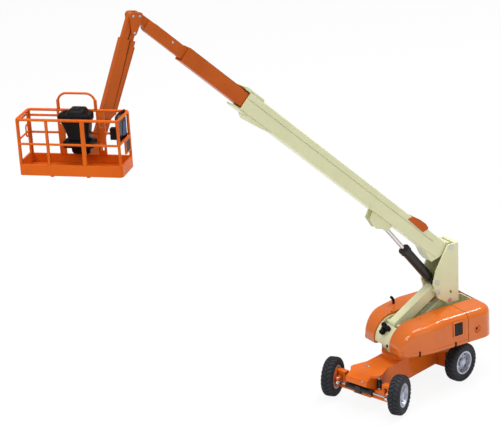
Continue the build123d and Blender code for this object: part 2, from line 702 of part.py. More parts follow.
with BuildPart() as lift_barrel:
    with BuildSketch(across(CYLINDER_SIDE, BARREL_LUG_RADIUS)):
        Circle(BARREL_RADIUS)
    extrude(amount=BARREL_LENGTH - BARREL_LUG_RADIUS)
    with BuildSketch(across(CYLINDER_SIDE, BARREL_LENGTH - barrel_cap)):
        Circle(BARREL_RADIUS + 0.7)
    extrude(amount=barrel_cap)
    with BuildSketch(CYLINDER_SIDE):
        Circle(BARREL_LUG_RADIUS)
        with Locations((BARREL_LUG_RADIUS / 2, 0)):
            Rectangle(BARREL_LUG_RADIUS, 2 * BARREL_LUG_RADIUS)
    slab(2 * lug_half)
    with BuildSketch(CYLINDER_SIDE):
        Circle(PIN_RADIUS + RUNNING_FIT)
    extrude(amount=UPRIGHT_WIDTH, both=True, mode=Mode.SUBTRACT)
    with BuildSketch(across(CYLINDER_SIDE, PIN_RADIUS + 2.4)):
        Circle(barrel_bore)
    extrude(amount=BARREL_LENGTH, mode=Mode.SUBTRACT)
step(lift_barrel, "lift_barrel")

with BuildPart() as lift_rod:
    rod_start = CYLINDER_VECTOR.length - LIFT_ROD_LENGTH
    with BuildSketch(across(CYLINDER_SIDE, rod_start)):
        Circle(LIFT_ROD_RADIUS)
    extrude(amount=LIFT_ROD_LENGTH)
    with BuildSketch(side(*EYE_POINT)):
        Circle(EYE_RADIUS)
    slab(LUG_WIDTH)
step(lift_rod, "lift_rod")


def box_tube(start, end, height, width, wall):
    """Rectangular telescoping section on the boom's centreline, open at both ends."""
    with BuildSketch(across(BOOM_SIDE, start, -BOOM_DROP)) as section:
        RectangleRounded(width, height, wall)
        Rectangle(width - 2 * wall, height - 2 * wall, mode=Mode.SUBTRACT)
    extrude(section.sketch, amount=end - start)


PIVOT_LUG = 3.4
REAR_GUSSET = (
    # along, rise from the boom's underside
    (19.3, 0.2),
    (11.5, -3.1),
    (6.5, -4.1),
    (4.0, 0.2),
)

with BuildPart() as base_boom:
    box_tube(BASE_START, BASE_END, BASE_HEIGHT, BASE_WIDTH, BASE_WALL)
    # rear pivot lug, closed behind
    with BuildSketch(BOOM_SIDE):
        bottom = -BOOM_DROP - BASE_HEIGHT / 2
        top = -BOOM_DROP + BASE_HEIGHT / 2
        Circle(PIVOT_LUG)
        Polygon(
            (0, PIVOT_LUG), (BASE_START + 2, top), (BASE_START + 2, bottom), (BASE_START, bottom),
            (-PIVOT_LUG, -0.5), align=None,
        )
        # gusset below the lug
        Polygon(*((along, bottom + rise) for along, rise in REAR_GUSSET), align=None)
        Circle(PIN_RADIUS + RUNNING_FIT, mode=Mode.SUBTRACT)
    slab(BASE_WIDTH)
    # folded lip along each side, a little below the top
    for way in (1, -1):
        lip = BOOM_SIDE.offset(way * BASE_WIDTH / 2)
        with BuildSketch(lip):
            with Locations(((BASE_START + BASE_END) / 2 + 6, top - 5.2)):
                Rectangle(BASE_END - BASE_START - 12, 0.6)
        extrude(amount=way * -0.35, mode=Mode.SUBTRACT)
step(base_boom, "base_boom")

cheek_inner = LUG_WIDTH / 2 + CHEEK_GAP

ROD_BRACKET = (
    # along, rise: one cheek of the bracket that the lift rod pushes
    (EYE[0] - 3.5, bottom),
    (EYE[0] - 2.5, EYE[1] - 1.2),
    (EYE[0], EYE[1] - 2.6),
    (EYE[0] + 3.0, EYE[1] - 2.6),
    (EYE[0] + 8.4, EYE[1] - 5.3),
    (EYE[0] + 18.0, EYE[1] - 2.6),
    (EYE[0] + 19.7, bottom),
)

with BuildPart() as rod_bracket:
    for way in (1, -1):
        with BuildSketch(BOOM_SIDE.offset(way * cheek_inner)):
            Polygon(*ROD_BRACKET, align=None)
        extrude(amount=way * CHEEK_WALL)
step(rod_bracket, "rod_bracket")

BOOM_COVER = (
    # along, rise from the boom's top: orange cap over the hoses at the rear of the boom
    (53.0, -5.15),
    (49.4, 0.0),
    (49.0, 0.55),
    (41.0, 1.95),
    (32.6, 2.25),
    (27.4, 0.55),
    (31.0, -5.65),
)
cover_wall = 0.5

with BuildPart() as boom_cover:
    with BuildSketch(BOOM_SIDE):
        Polygon(*((along, top + rise) for along, rise in BOOM_COVER), align=None)
    slab(BASE_WIDTH + 2 * cover_wall)
    # hollow so that it sits over the boom
    with BuildSketch(BOOM_SIDE):
        with Locations((BASE_END / 2, -BOOM_DROP)):
            Rectangle(BASE_END, BASE_HEIGHT)
    extrude(amount=BASE_WIDTH / 2, both=True, mode=Mode.SUBTRACT)
step(boom_cover, "boom_cover")

COLLAR_PLATE = (
    # along from the mouth, rise from the boom's top
    (-14.0, 0.0),
    (-13.0, 1.4),
    (5.2, 1.4),
    (7.2, 0.0),
    (5.2, -0.8),
    (0.3, -0.8),
    (0.3, 0.0),
)
COLLAR_FLARE = (
    # along from the mouth, rise from the boom's underside
    (-34.0, 0.0),
    (-28.0, -1.6),
    (-12.0, -3.6),
    (-8.2, -1.8),
    (-7.0, 0.0),
)
COLLAR_TONGUE = (
    # along from the mouth, rise from the boom's underside
    (-7.8, 0.0),
    (-7.0, -1.1),
    (4.6, -1.1),
    (5.7, 0.2),
    (0.3, 0.2),
    (0.3, 0.0),
)

with BuildPart() as boom_collar:
    # guide plate on top of the base boom's mouth, flared pad and tongue below it
    with BuildSketch(BOOM_SIDE):
        Polygon(*((BASE_END + along, top + rise) for along, rise in COLLAR_PLATE), align=None)
        Polygon(*((BASE_END + along, bottom + rise) for along, rise in COLLAR_FLARE), align=None)
        Polygon(*((BASE_END + along, bottom + rise) for along, rise in COLLAR_TONGUE), align=None)
    slab(BASE_WIDTH - 1)
step(boom_collar, "boom_collar")

with BuildPart() as boom_mid:
    box_tube(MID_START, MID_END, MID_HEIGHT, MID_WIDTH, MID_WALL)
step(boom_mid, "boom_mid")

FLY_TOP = -BOOM_DROP + FLY_HEIGHT / 2
FLY_BOTTOM = -BOOM_DROP - FLY_HEIGHT / 2
nose_radius = 2.3

with BuildPart() as boom_fly:
    box_tube(FLY_START, FLY_END, FLY_HEIGHT, FLY_WIDTH, FLY_WALL)
    # nose lug between the elbow's cheeks
    with BuildSketch(BOOM_SIDE):
        Polygon(
            (FLY_END - 4, FLY_TOP),
            (ELBOW[0], ELBOW[1] + nose_radius),
            (ELBOW[0], ELBOW[1] - nose_radius),
            (FLY_END, FLY_BOTTOM + 1.6),
            (FLY_END - 4, FLY_BOTTOM),
            align=None,
        )
        with Locations(ELBOW):
            Circle(nose_radius)
            Circle(SMALL_PIN + RUNNING_FIT, mode=Mode.SUBTRACT)
    slab(LUG_WIDTH)
    # the box ends in a raked underside that clears the elbow when the boom is steep
    with BuildSketch(BOOM_SIDE):
        Polygon(
            (FLY_END - 5, FLY_BOTTOM - 1),
            (FLY_END + 1, FLY_BOTTOM - 1),
            (FLY_END + 1, FLY_BOTTOM + 2),
            align=None,
        )
    extrude(amount=FLY_WIDTH, both=True, mode=Mode.SUBTRACT)
step(boom_fly, "boom_fly")

# Elbow: two cheeks that hold the boom's nose, the jib and the jib's link
ELBOW_PINS = (
    # point, cheek radius
    (ELBOW_POINT, 2.6),
    (JIB_PIVOT, 2.6),
    (JIB_LINK_PIVOT, 2.0),
)

with BuildPart() as elbow_cheeks:
    for way in (1, -1):
        with BuildSketch(BODY_SIDE.offset(way * cheek_inner)):
            for pin, radius in ELBOW_PINS:
                with Locations(pin):
                    Circle(radius)
            make_hull()
            for pin, radius in ELBOW_PINS:
                with Locations(pin):
                    Circle(SMALL_PIN, mode=Mode.SUBTRACT)
        extrude(amount=way * CHEEK_WALL)
step(elbow_cheeks, "elbow_cheeks")

with BuildPart() as elbow_pins:
    for pin, radius in ELBOW_PINS:
        with BuildSketch(side(*pin)):
            Circle(SMALL_PIN)
        slab(2 * (cheek_inner + CHEEK_WALL + 0.3))
step(elbow_pins, "elbow_pins")

jib_lug = 2.4
link_lug = 1.9

with BuildPart() as jib_arm:
    # main web, and below it two skirts that the link lies between
    box_end = JIB_LENGTH - 6.5
    with BuildSketch(JIB_SIDE):
        Polygon(
            (JIB_BOX_START, JIB_ABOVE),
            (box_end, JIB_ABOVE - 1.3),
            (box_end + 3, 1.6),
            (box_end - 2, -1.2),
            (box_end - 14, -JIB_BELOW),
            (JIB_BOX_START, -JIB_BELOW),
            align=None,
        )
    slab(JIB_WIDTH)
    with BuildSketch(JIB_SIDE):
        Polygon(
            (JIB_BOX_START, -JIB_BELOW + 1),
            (JIB_SKIRT_END, -JIB_BELOW + 1),
            (JIB_SKIRT_END, -JIB_SKIRT + 2),
            (JIB_SKIRT_END - 3, -JIB_SKIRT),
            (JIB_BOX_START, -JIB_SKIRT),
            align=None,
        )
    slab(JIB_WIDTH)
    with BuildSketch(JIB_SIDE):
        with Locations((JIB_LENGTH / 2, -JIB_BELOW)):
            Rectangle(JIB_LENGTH, JIB_SKIRT, align=(Align.CENTER, Align.MAX))
    extrude(amount=JIB_WIDTH / 2 - JIB_SKIRT_WALL, both=True, mode=Mode.SUBTRACT)
    # upper end fitting
    with BuildSketch(JIB_SIDE):
        Circle(jib_lug)
        Polygon(
            (0, jib_lug), (JIB_BOX_START + 1, jib_lug), (JIB_BOX_START + 1, -1.6), (0, -jib_lug), align=None
        )
        Circle(SMALL_PIN + RUNNING_FIT, mode=Mode.SUBTRACT)
    slab(LUG_WIDTH)
    # lower lug
    with BuildSketch(JIB_SIDE):
        Polygon(
            (box_end - 3, jib_lug), (JIB_LENGTH, jib_lug), (JIB_LENGTH, -jib_lug), (box_end - 3, -1.2),
            align=None,
        )
        with Locations((JIB_LENGTH, 0)):
            Circle(jib_lug)
            Circle(SMALL_PIN + RUNNING_FIT, mode=Mode.SUBTRACT)
    slab(LUG_WIDTH)
step(jib_arm, "jib_arm")

with BuildPart() as jib_link:
    with BuildSketch(side(*JIB_LINK_PIVOT, pitch=JIB_REST)):
        with Locations((JIB_LENGTH / 2, 0)):
            SlotCenterToCenter(JIB_LENGTH, 2 * link_lug)
        # deeper between its ends
        Polygon(
            (8, 0),
            (10, -JIB_LINK_BELOW),
            (JIB_LENGTH - 28, -JIB_LINK_BELOW),
            (JIB_LENGTH - 24, 0),
            align=None,
        )
        with Locations((0, 0), (JIB_LENGTH, 0)):
            Circle(SMALL_PIN + RUNNING_FIT, mode=Mode.SUBTRACT)
    slab(JIB_LINK_WIDTH)
step(jib_link, "jib_link")

PLATFORM_PINS = (
    # point, cheek radius
    (PLATFORM_PIVOT, 2.4),
    (PLATFORM_LINK_PIVOT, 2.0),
)
sleeve_bottom = PLATFORM_LINK_PIVOT[1] - 2.0
sleeve_top = PLATFORM_PIVOT[1] + 2.4

with BuildPart() as platform_bracket:
    for way in (1, -1):
        with BuildSketch(BODY_SIDE.offset(way * cheek_inner)):
            for pin, radius in PLATFORM_PINS:
                with Locations(pin):
                    Circle(radius)
            with Locations((ROTATOR_X, (sleeve_bottom + sleeve_top) / 2)):
                Rectangle(2, sleeve_top - sleeve_bottom)
            make_hull()
            for pin, radius in PLATFORM_PINS:
                with Locations(pin):
                    Circle(SMALL_PIN, mode=Mode.SUBTRACT)
        extrude(amount=way * CHEEK_WALL)
    # upright sleeve that the basket turns in
    with BuildSketch(level(sleeve_bottom, x=ROTATOR_X)):
        Circle(SLEEVE_RADIUS)
    extrude(amount=sleeve_top - sleeve_bottom)
    with BuildSketch(level(sleeve_bottom - 1, x=ROTATOR_X)):
        Circle(ROTATOR_RADIUS + RUNNING_FIT)
    extrude(amount=sleeve_top - sleeve_bottom + 2, mode=Mode.SUBTRACT)
step(platform_bracket, "platform_bracket")

with BuildPart() as platform_pins:
    for pin, radius in PLATFORM_PINS:
        with BuildSketch(side(*pin)):
            Circle(SMALL_PIN)
        slab(2 * (cheek_inner + CHEEK_WALL + 0.3))
step(platform_pins, "platform_pins")

# Basket
back = BASKET_BACK
front_x = back + BASKET_DEPTH
middle_x = back + BASKET_DEPTH / 2
half_long = BASKET_LENGTH / 2

with BuildPart() as basket_mount:
    # turning pin with a flange above and below the sleeve, and the back plate that it carries
    mount_gap = 0.2
    arm_height = 3.0
    low = sleeve_bottom - BASKET_BOTTOM - mount_gap - arm_height
    high = sleeve_top - BASKET_BOTTOM + mount_gap
    with BuildSketch(basket_level(low)):
        Circle(ROTATOR_RADIUS)
    extrude(amount=high - low + arm_height)
    for z in (low, high):
        with BuildSketch(basket_level(z)):
            Circle(SLEEVE_RADIUS)
            with Locations(((back - 1.5) / 2, 0)):
                Rectangle(back - 1.5, 2 * SLEEVE_RADIUS)
        extrude(amount=arm_height)
    with BuildSketch(basket_level(low)):
        with Locations((back - 1.2, 0)):
            Rectangle(2.0, 10)
    extrude(amount=BASKET_HEIGHT - low - RAIL - 1.0)
step(basket_mount, "basket_mount")

with BuildPart() as basket_tray:
    with BuildSketch(basket_level(0)):
        with Locations((middle_x, 0)):
            RectangleRounded(BASKET_DEPTH, BASKET_LENGTH, TRAY_CORNER)
    extrude(amount=TRAY_HEIGHT)
    with BuildSketch(basket_level(TRAY_WALL)):
        with Locations((middle_x, 0)):
            RectangleRounded(
                BASKET_DEPTH - 2 * TRAY_WALL, BASKET_LENGTH - 2 * TRAY_WALL, TRAY_CORNER - TRAY_WALL
            )
    extrude(amount=TRAY_HEIGHT, mode=Mode.SUBTRACT)
    # two small feet under the front edge
    with BuildSketch(basket_level(-0.9)):
        with Locations((front_x - 1.8, -13.8), (front_x - 1.8, 11.9)):
            Circle(1.4)
    extrude(amount=0.9)
step(basket_tray, "basket_tray")

BASKET_SIDE = Plane(
    origin=basket_level(0).origin, x_dir=basket_level(0).x_dir, z_dir=-basket_level(0).y_dir
)
BASKET_END = Plane(
    origin=basket_level(0).origin, x_dir=basket_level(0).y_dir, z_dir=basket_level(0).x_dir
)
rail_half = RAIL / 2
back_rail_x = back + rail_half
front_rail_x = front_x - rail_half
end_rail_y = half_long - rail_half
TOP_RAIL = BASKET_HEIGHT - rail_half
TOP_RAIL_BOTTOM = BASKET_HEIGHT - RAIL

FLAT_POSTS = (
    # x, y, size across, size along, bottom, top
    (front_rail_x, -14.8, MID_RAIL_SIZE, 2.4, TRAY_HEIGHT, TOP_RAIL),
    (front_rail_x, 10.5, MID_RAIL_SIZE, 3.3, TRAY_HEIGHT, TOP_RAIL),
    (back_rail_x, -12.0, MID_RAIL_SIZE, 3.4, TRAY_HEIGHT, MID_RAIL_HEIGHT + 6.5),
    (back_rail_x, -14.2, MID_RAIL_SIZE, 1.6, TRAY_HEIGHT, TOP_RAIL),
    (back_rail_x, 15.7, MID_RAIL_SIZE, 5.4, TRAY_HEIGHT, TOP_RAIL),
)
SIDE_RAILS = (
    # x, y at the left, y at the right, height
    (front_rail_x, -end_rail_y, end_rail_y, MID_RAIL_HEIGHT - 0.4),
    (back_rail_x, -end_rail_y, end_rail_y, MID_RAIL_HEIGHT + 0.5),
    (back_rail_x, -end_rail_y, -14.2, BASKET_HEIGHT - 5.0),
)
BACK_CUTOUTS = (13.5, 30.0)

with BuildPart() as basket_rails:
    # round top rail all the way round
    with BuildLine(basket_level(TOP_RAIL)) as run:
        FilletPolyline(
            (back_rail_x, -end_rail_y), (front_rail_x, -end_rail_y), (front_rail_x, end_rail_y),
            (back_rail_x, end_rail_y), radius=RAIL_CORNER, close=True,
        )
    top_path = run.wire()
    with BuildSketch(Plane(origin=top_path @ 0, z_dir=top_path % 0)):
        Circle(rail_half)
    sweep(path=top_path)
    # round corner posts down to the tray's rim
    with BuildSketch(basket_level(TRAY_HEIGHT)):
        for x in (back_rail_x, front_rail_x):
            for y in (-end_rail_y, end_rail_y):
                inset = 0.3 if x == back_rail_x else -0.3
                with Locations((x + inset, y - 0.3 * y / abs(y))):
                    Circle(rail_half)
    extrude(amount=TOP_RAIL - TRAY_HEIGHT)
    for x, y, wide, long, low_z, high_z in FLAT_POSTS:
        with BuildSketch(basket_level(low_z)):
            with Locations((x, y)):
                Rectangle(wide, long)
        extrude(amount=high_z - low_z)
    for x, start_y, end_y, z in SIDE_RAILS:
        with BuildSketch(BASKET_SIDE.offset(-start_y)):
            with Locations((x, z)):
                Circle(MID_RAIL_SIZE / 2)
        extrude(amount=start_y - end_y)
    # middle rail of the right end
    with BuildSketch(BASKET_END.offset(back_rail_x)):
        with Locations((end_rail_y, MID_RAIL_HEIGHT)):
            Circle(MID_RAIL_SIZE / 2)
    extrude(amount=front_rail_x - back_rail_x)
    # two windows in the wide back post
    for low_z in BACK_CUTOUTS:
        with BuildSketch(BASKET_END.offset(back)):
            with Locations((15.7, low_z)):
                Rectangle(2.6, 6.0)
        extrude(amount=RAIL, mode=Mode.SUBTRACT)
step(basket_rails, "basket_rails")

CONSOLE_STEPS = (
    # y at the left, y at the right, bottom, top, reach into the basket
    (-7.8, 8.6, 10.8, 15.5, 8.5),
    (-10.0, 14.0, 15.5, 20.5, 11.0),
    (-10.8, 12.6, 35.0, 41.3, 12.0),
    (-2.6, 9.4, 41.3, 44.0, 9.0),
)
console_back = back + RAIL + 0.1

with BuildPart() as console:
    for start_y, end_y, low_z, high_z, reach in CONSOLE_STEPS:
        with BuildSketch(basket_level(low_z)):
            with Locations((console_back + reach / 2, (start_y + end_y) / 2)):
                Rectangle(reach, end_y - start_y)
        extrude(amount=high_z - low_z)
    # body that widens upwards between the shelf and the top
    for z, start_y, end_y, reach in ((20.5, -7.7, 9.5, 9.0), (35.0, -9.8, 12.0, 11.0)):
        with BuildSketch(basket_level(z)):
            with Locations((console_back + reach / 2, (start_y + end_y) / 2)):
                Rectangle(reach, end_y - start_y)
    loft()
step(console, "console")

HOOP_LEGS = (-13.6, 13.0)
HOOP_TOP = BASKET_HEIGHT + 11.7
HOOP_CORNER = 6.5
HOOP_RADIUS = 0.8
SLEEVE_TOP = BASKET_HEIGHT + 6.3

with BuildPart() as basket_hoop:
    # guard hoop that stands on the back top rail behind the console, in two sleeves
    with BuildLine(BASKET_END.offset(back_rail_x)) as bow:
        FilletPolyline(
            (HOOP_LEGS[0], BASKET_HEIGHT), (HOOP_LEGS[0], HOOP_TOP - HOOP_RADIUS),
            (HOOP_LEGS[1], HOOP_TOP - HOOP_RADIUS), (HOOP_LEGS[1], BASKET_HEIGHT), radius=HOOP_CORNER,
        )
    with BuildSketch(basket_level(BASKET_HEIGHT)):
        with Locations((back_rail_x, HOOP_LEGS[0])):
            Circle(HOOP_RADIUS)
    sweep(path=bow.wire())
    with BuildSketch(basket_level(BASKET_HEIGHT)):
        with Locations((back_rail_x, HOOP_LEGS[0]), (back_rail_x, HOOP_LEGS[1])):
            Circle(1.4 * HOOP_RADIUS)
    extrude(amount=SLEEVE_TOP - BASKET_HEIGHT)
step(basket_hoop, "basket_hoop")

with BuildPart() as side_box:
    # black control box inside the back rail at the right
    with BuildSketch(basket_level(MID_RAIL_HEIGHT - 2.4)):
        with Locations((console_back + 2.0, half_long - 10.8)):
            Rectangle(4.0, 4.8)
    extrude(amount=8.0)
step(side_box, "side_box")

with BuildPart() as end_panel:
    # tall curved panel inside the right end
    panel_y = half_long - RAIL - 0.2
    with BuildSketch(basket_level(MID_RAIL_HEIGHT - 1.4)):
        with BuildLine():
            outer = ThreePointArc((back + 3, panel_y), (middle_x, panel_y - 1.2), (front_x - 3, panel_y))
            tip = Line(outer @ 1, (front_x - 3, panel_y - 1.1))
            inner = ThreePointArc(tip @ 1, (middle_x, panel_y - 2.3), (back + 3, panel_y - 1.1))
            Line(inner @ 1, outer @ 0)
        make_face()
    extrude(amount=BASKET_HEIGHT + 1 - MID_RAIL_HEIGHT + 1.4)
step(end_panel, "end_panel")

# Entry gate: framed left end that swings on a round stile beside the back corner post
gate_gap = 0.5
gate_y = -half_long + RAIL / 2
gate_bar = 0.8 * RAIL
gate_hinge_x = back + RAIL + gate_gap + gate_bar / 2 + 0.3
gate_end_x = front_x - RAIL - gate_gap - gate_bar / 2 - 0.3
gate_low = TRAY_HEIGHT + gate_gap + gate_bar / 2
gate_high = TOP_RAIL_BOTTOM - gate_gap - gate_bar / 2
GATE_BARS = (gate_low, MID_RAIL_HEIGHT + 2.0, gate_high)

with BuildPart() as gate:
    with BuildSketch(basket_level(gate_low - gate_bar / 2)):
        with Locations((gate_hinge_x, gate_y), (gate_end_x, gate_y)):
            Circle(gate_bar / 2)
    extrude(amount=gate_high - gate_low + gate_bar)
    for z in GATE_BARS:
        with BuildSketch(BASKET_END.offset(gate_hinge_x)):
            with Locations((gate_y, z)):
                Circle(0.42 * gate_bar)
        extrude(amount=gate_end_x - gate_hinge_x)
    # latch loop on the outside of the far stile
    with BuildSketch(BASKET_SIDE.offset(-gate_y)):
        with Locations((gate_hinge_x + 6.7, MID_RAIL_HEIGHT + 2.5)):
            SlotOverall(12.0, 6.6, rotation=90)
            SlotOverall(9.6, 4.2, rotation=90, mode=Mode.SUBTRACT)
    slab(1.2)
step(gate, "gate")

# Small fittings on the turntable
panel_x = (-39.5, -31.5)
panel_z = (HOOD_BOTTOM + 8.5, HOOD_BOTTOM + 20.0)

with BuildPart() as control_panel:
    with BuildSketch(BODY_SIDE.offset(-TURNTABLE_WIDTH / 2)):
        with Locations(((panel_x[0] + panel_x[1]) / 2, (panel_z[0] + panel_z[1]) / 2)):
            Rectangle(panel_x[1] - panel_x[0], panel_z[1] - panel_z[0])
    extrude(amount=-0.6)
step(control_panel, "control_panel")

FITTING_LOBES = ((-2.7, 2.4), (3.4, 1.2), (0.6, -3.5))

with BuildPart() as front_fitting:
    # three-lobed knob on the nose of the centre channel
    fitting = side(HOOD_NOSE - 4.0, HOOD_BOTTOM + 14.9, pitch=50)
    with BuildSketch(across(fitting, 0)):
        Circle(2.8)
        with Locations(*FITTING_LOBES):
            Circle(1.9)
    extrude(amount=2.4)
step(front_fitting, "front_fitting")

STUB_AT = (-13.5, -22.4)

with BuildPart() as hose_stub:
    stub_side = BODY_SIDE.offset(-STUB_AT[1])
    with BuildLine(stub_side) as bend:
        ThreePointArc(
            (STUB_AT[0], HOOD_TOP - 1.2),
            (STUB_AT[0] + 0.8, HOOD_TOP + 1.8),
            (STUB_AT[0] + 2.7, HOOD_TOP + 4.6),
        )
    stub_path = bend.wire()
    with BuildSketch(Plane(origin=stub_path @ 0, z_dir=stub_path % 0)):
        Circle(0.65)
    sweep(path=stub_path)
step(hose_stub, "hose_stub")
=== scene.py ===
import json
import math

import bmesh
import bpy
from mathutils import Matrix, Vector
from mathutils.bvhtree import BVHTree


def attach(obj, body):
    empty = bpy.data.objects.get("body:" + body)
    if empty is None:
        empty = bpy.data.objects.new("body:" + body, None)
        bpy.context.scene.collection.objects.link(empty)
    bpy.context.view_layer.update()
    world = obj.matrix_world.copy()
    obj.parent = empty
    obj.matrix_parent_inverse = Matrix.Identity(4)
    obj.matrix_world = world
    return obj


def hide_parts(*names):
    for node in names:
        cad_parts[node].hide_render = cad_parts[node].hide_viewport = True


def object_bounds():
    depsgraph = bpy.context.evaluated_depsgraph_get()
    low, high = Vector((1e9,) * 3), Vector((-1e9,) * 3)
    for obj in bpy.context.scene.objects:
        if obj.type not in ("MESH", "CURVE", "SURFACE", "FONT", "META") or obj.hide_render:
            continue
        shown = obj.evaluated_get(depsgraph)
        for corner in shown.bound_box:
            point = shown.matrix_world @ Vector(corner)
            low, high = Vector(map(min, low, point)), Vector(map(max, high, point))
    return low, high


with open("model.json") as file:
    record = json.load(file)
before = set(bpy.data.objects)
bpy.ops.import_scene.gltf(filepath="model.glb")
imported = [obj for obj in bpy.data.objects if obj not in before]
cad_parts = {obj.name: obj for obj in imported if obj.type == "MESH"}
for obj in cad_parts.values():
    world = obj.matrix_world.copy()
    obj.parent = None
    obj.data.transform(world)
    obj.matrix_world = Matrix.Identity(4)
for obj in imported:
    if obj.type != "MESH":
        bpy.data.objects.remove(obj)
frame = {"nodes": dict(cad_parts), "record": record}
nodes = frame["nodes"]
cad_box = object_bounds()
scene = bpy.context.scene

MM = 0.001
UP = Vector((0, 0, 1))

# Camera fitted to the photograph
CAMERA_AT = Vector((1089.4, 918.2, 668.8)) * MM
CAMERA_AIM = Vector((-125.134, -275.069, 38.761)) * MM
CAMERA_ROLL = math.radians(-3.515)
CAMERA_LENS = 142.84
CAMERA_SENSOR = 36.0
PHOTO_WIDTH = 500
PHOTO_CENTRE = (250, 214)
PIXEL_FOCUS = CAMERA_LENS / CAMERA_SENSOR * PHOTO_WIDTH

camera = bpy.data.objects.new("camera", bpy.data.cameras.new("camera"))
scene.collection.objects.link(camera)
camera.data.lens = CAMERA_LENS
camera.data.sensor_width = CAMERA_SENSOR
camera.data.clip_start = 0.05
camera.data.clip_end = 60.0
forward = (CAMERA_AIM - CAMERA_AT).normalized()
right = forward.cross(UP).normalized()
up = right.cross(forward)
rolled_right = right * math.cos(CAMERA_ROLL) + up * math.sin(CAMERA_ROLL)
rolled_up = up * math.cos(CAMERA_ROLL) - right * math.sin(CAMERA_ROLL)
basis = Matrix((rolled_right, rolled_up, -forward)).transposed().to_4x4()
camera.matrix_world = Matrix.Translation(CAMERA_AT) @ basis
scene.camera = camera
scene.view_settings.view_transform = "Standard"


class Nodes:
    """Short way to build the node tree of one material or world."""

    def __init__(self, owner, output):
        owner.use_nodes = True
        self.tree = owner.node_tree
        self.tree.nodes.clear()
        self.output = self.add(output)

    def add(self, kind, **values):
        """One node: each value goes to the property of its name, or else to the input."""
        node = self.tree.nodes.new(kind)
        for key, value in values.items():
            if hasattr(node, key):
                setattr(node, key, value)
            else:
                node.inputs[key.replace("_", " ")].default_value = value
        return node

    def link(self, start, end):
        self.tree.links.new(start, end)

    def remap(self, value, source=(0.0, 1.0), target=(0.0, 1.0)):
        """Output that carries a value from one range to another."""
        node = self.add("ShaderNodeMapRange", From_Min=source[0], From_Max=source[1])
        node.inputs["To Min"].default_value = target[0]
        node.inputs["To Max"].default_value = target[1]
        self.link(value, node.inputs["Value"])
        return node.outputs["Result"]


# Colour sockets of a Mix node: its two inputs and its output
MIX_A, MIX_B, MIX_RESULT = 6, 7, 2

# Values that all surfaces share
COAT_ROUGHNESS = 0.06
PATCH_SCALE = 38.0
PATCH_RANGE = (0.35, 0.75)
GRAIN_SCALE = 900.0
GRAIN_STRENGTH = 0.35
# painted shade in corners: how far the occlusion looks, its range and the lowest colour factor
CORNER_SHADE_REACH = 2.0
CORNER_SHADE_RANGE = (0.2, 0.8)
CORNER_SHADE_LOWEST = 0.84
EDGE_RADIUS = 0.3


def colour(rgb):
    """8-bit sRGB to the linear RGBA that a socket takes."""
    def linear(c):
        c /= 255
        return c / 12.92 if c <= 0.04045 else ((c + 0.055) / 1.055) ** 2.4
    return (*(linear(c) for c in rgb), 1.0)


def finish_material(name, base, deep, rough, metallic=0.0, coat=0.0, bump=0.03, level=0.3):
    """Patchy colour, uneven roughness, fine bump of the given height and painted shade that
    darkens the colour in corners.
    """
    material = bpy.data.materials.new(name)
    n = Nodes(material, "ShaderNodeOutputMaterial")
    shader = n.add("ShaderNodeBsdfPrincipled")
    shader.inputs["Metallic"].default_value = metallic
    shader.inputs["Coat Weight"].default_value = coat
    shader.inputs["Coat Roughness"].default_value = COAT_ROUGHNESS
    shader.inputs["Specular IOR Level"].default_value = level

    coords = n.add("ShaderNodeTexCoord")
    patches = n.add("ShaderNodeTexNoise", Scale=PATCH_SCALE, Detail=4.0, Roughness=0.6)
    n.link(coords.outputs["Object"], patches.inputs["Vector"])
    mix = n.add("ShaderNodeMix", data_type="RGBA")
    mix.inputs[MIX_A].default_value = colour(base)
    mix.inputs[MIX_B].default_value = colour(deep)
    n.link(n.remap(patches.outputs["Fac"], PATCH_RANGE), mix.inputs["Factor"])

    # painted shade: ambient occlusion darkens the base colour in corners and creases
    corner_occlusion = n.add("ShaderNodeAmbientOcclusion", samples=6, Distance=CORNER_SHADE_REACH * MM)
    shade = n.remap(corner_occlusion.outputs["AO"], CORNER_SHADE_RANGE, (CORNER_SHADE_LOWEST, 1.0))
    darken = n.add("ShaderNodeMix", data_type="RGBA", blend_type="MULTIPLY", Factor=1.0)
    n.link(mix.outputs[MIX_RESULT], darken.inputs[MIX_A])
    n.link(shade, darken.inputs[MIX_B])
    n.link(darken.outputs[MIX_RESULT], shader.inputs["Base Color"])
    n.link(n.remap(patches.outputs["Fac"], target=rough), shader.inputs["Roughness"])

    grain = n.add("ShaderNodeTexNoise", Scale=GRAIN_SCALE, Detail=3.0, Roughness=0.6)
    n.link(coords.outputs["Object"], grain.inputs["Vector"])
    edge = n.add("ShaderNodeBevel", samples=4, Radius=EDGE_RADIUS * MM)
    relief = n.add("ShaderNodeBump", Strength=GRAIN_STRENGTH, Distance=bump * MM)
    n.link(edge.outputs["Normal"], relief.inputs["Normal"])
    n.link(grain.outputs["Fac"], relief.inputs["Height"])
    n.link(relief.outputs["Normal"], shader.inputs["Normal"])
    n.link(shader.outputs["BSDF"], n.output.inputs["Surface"])
    return material


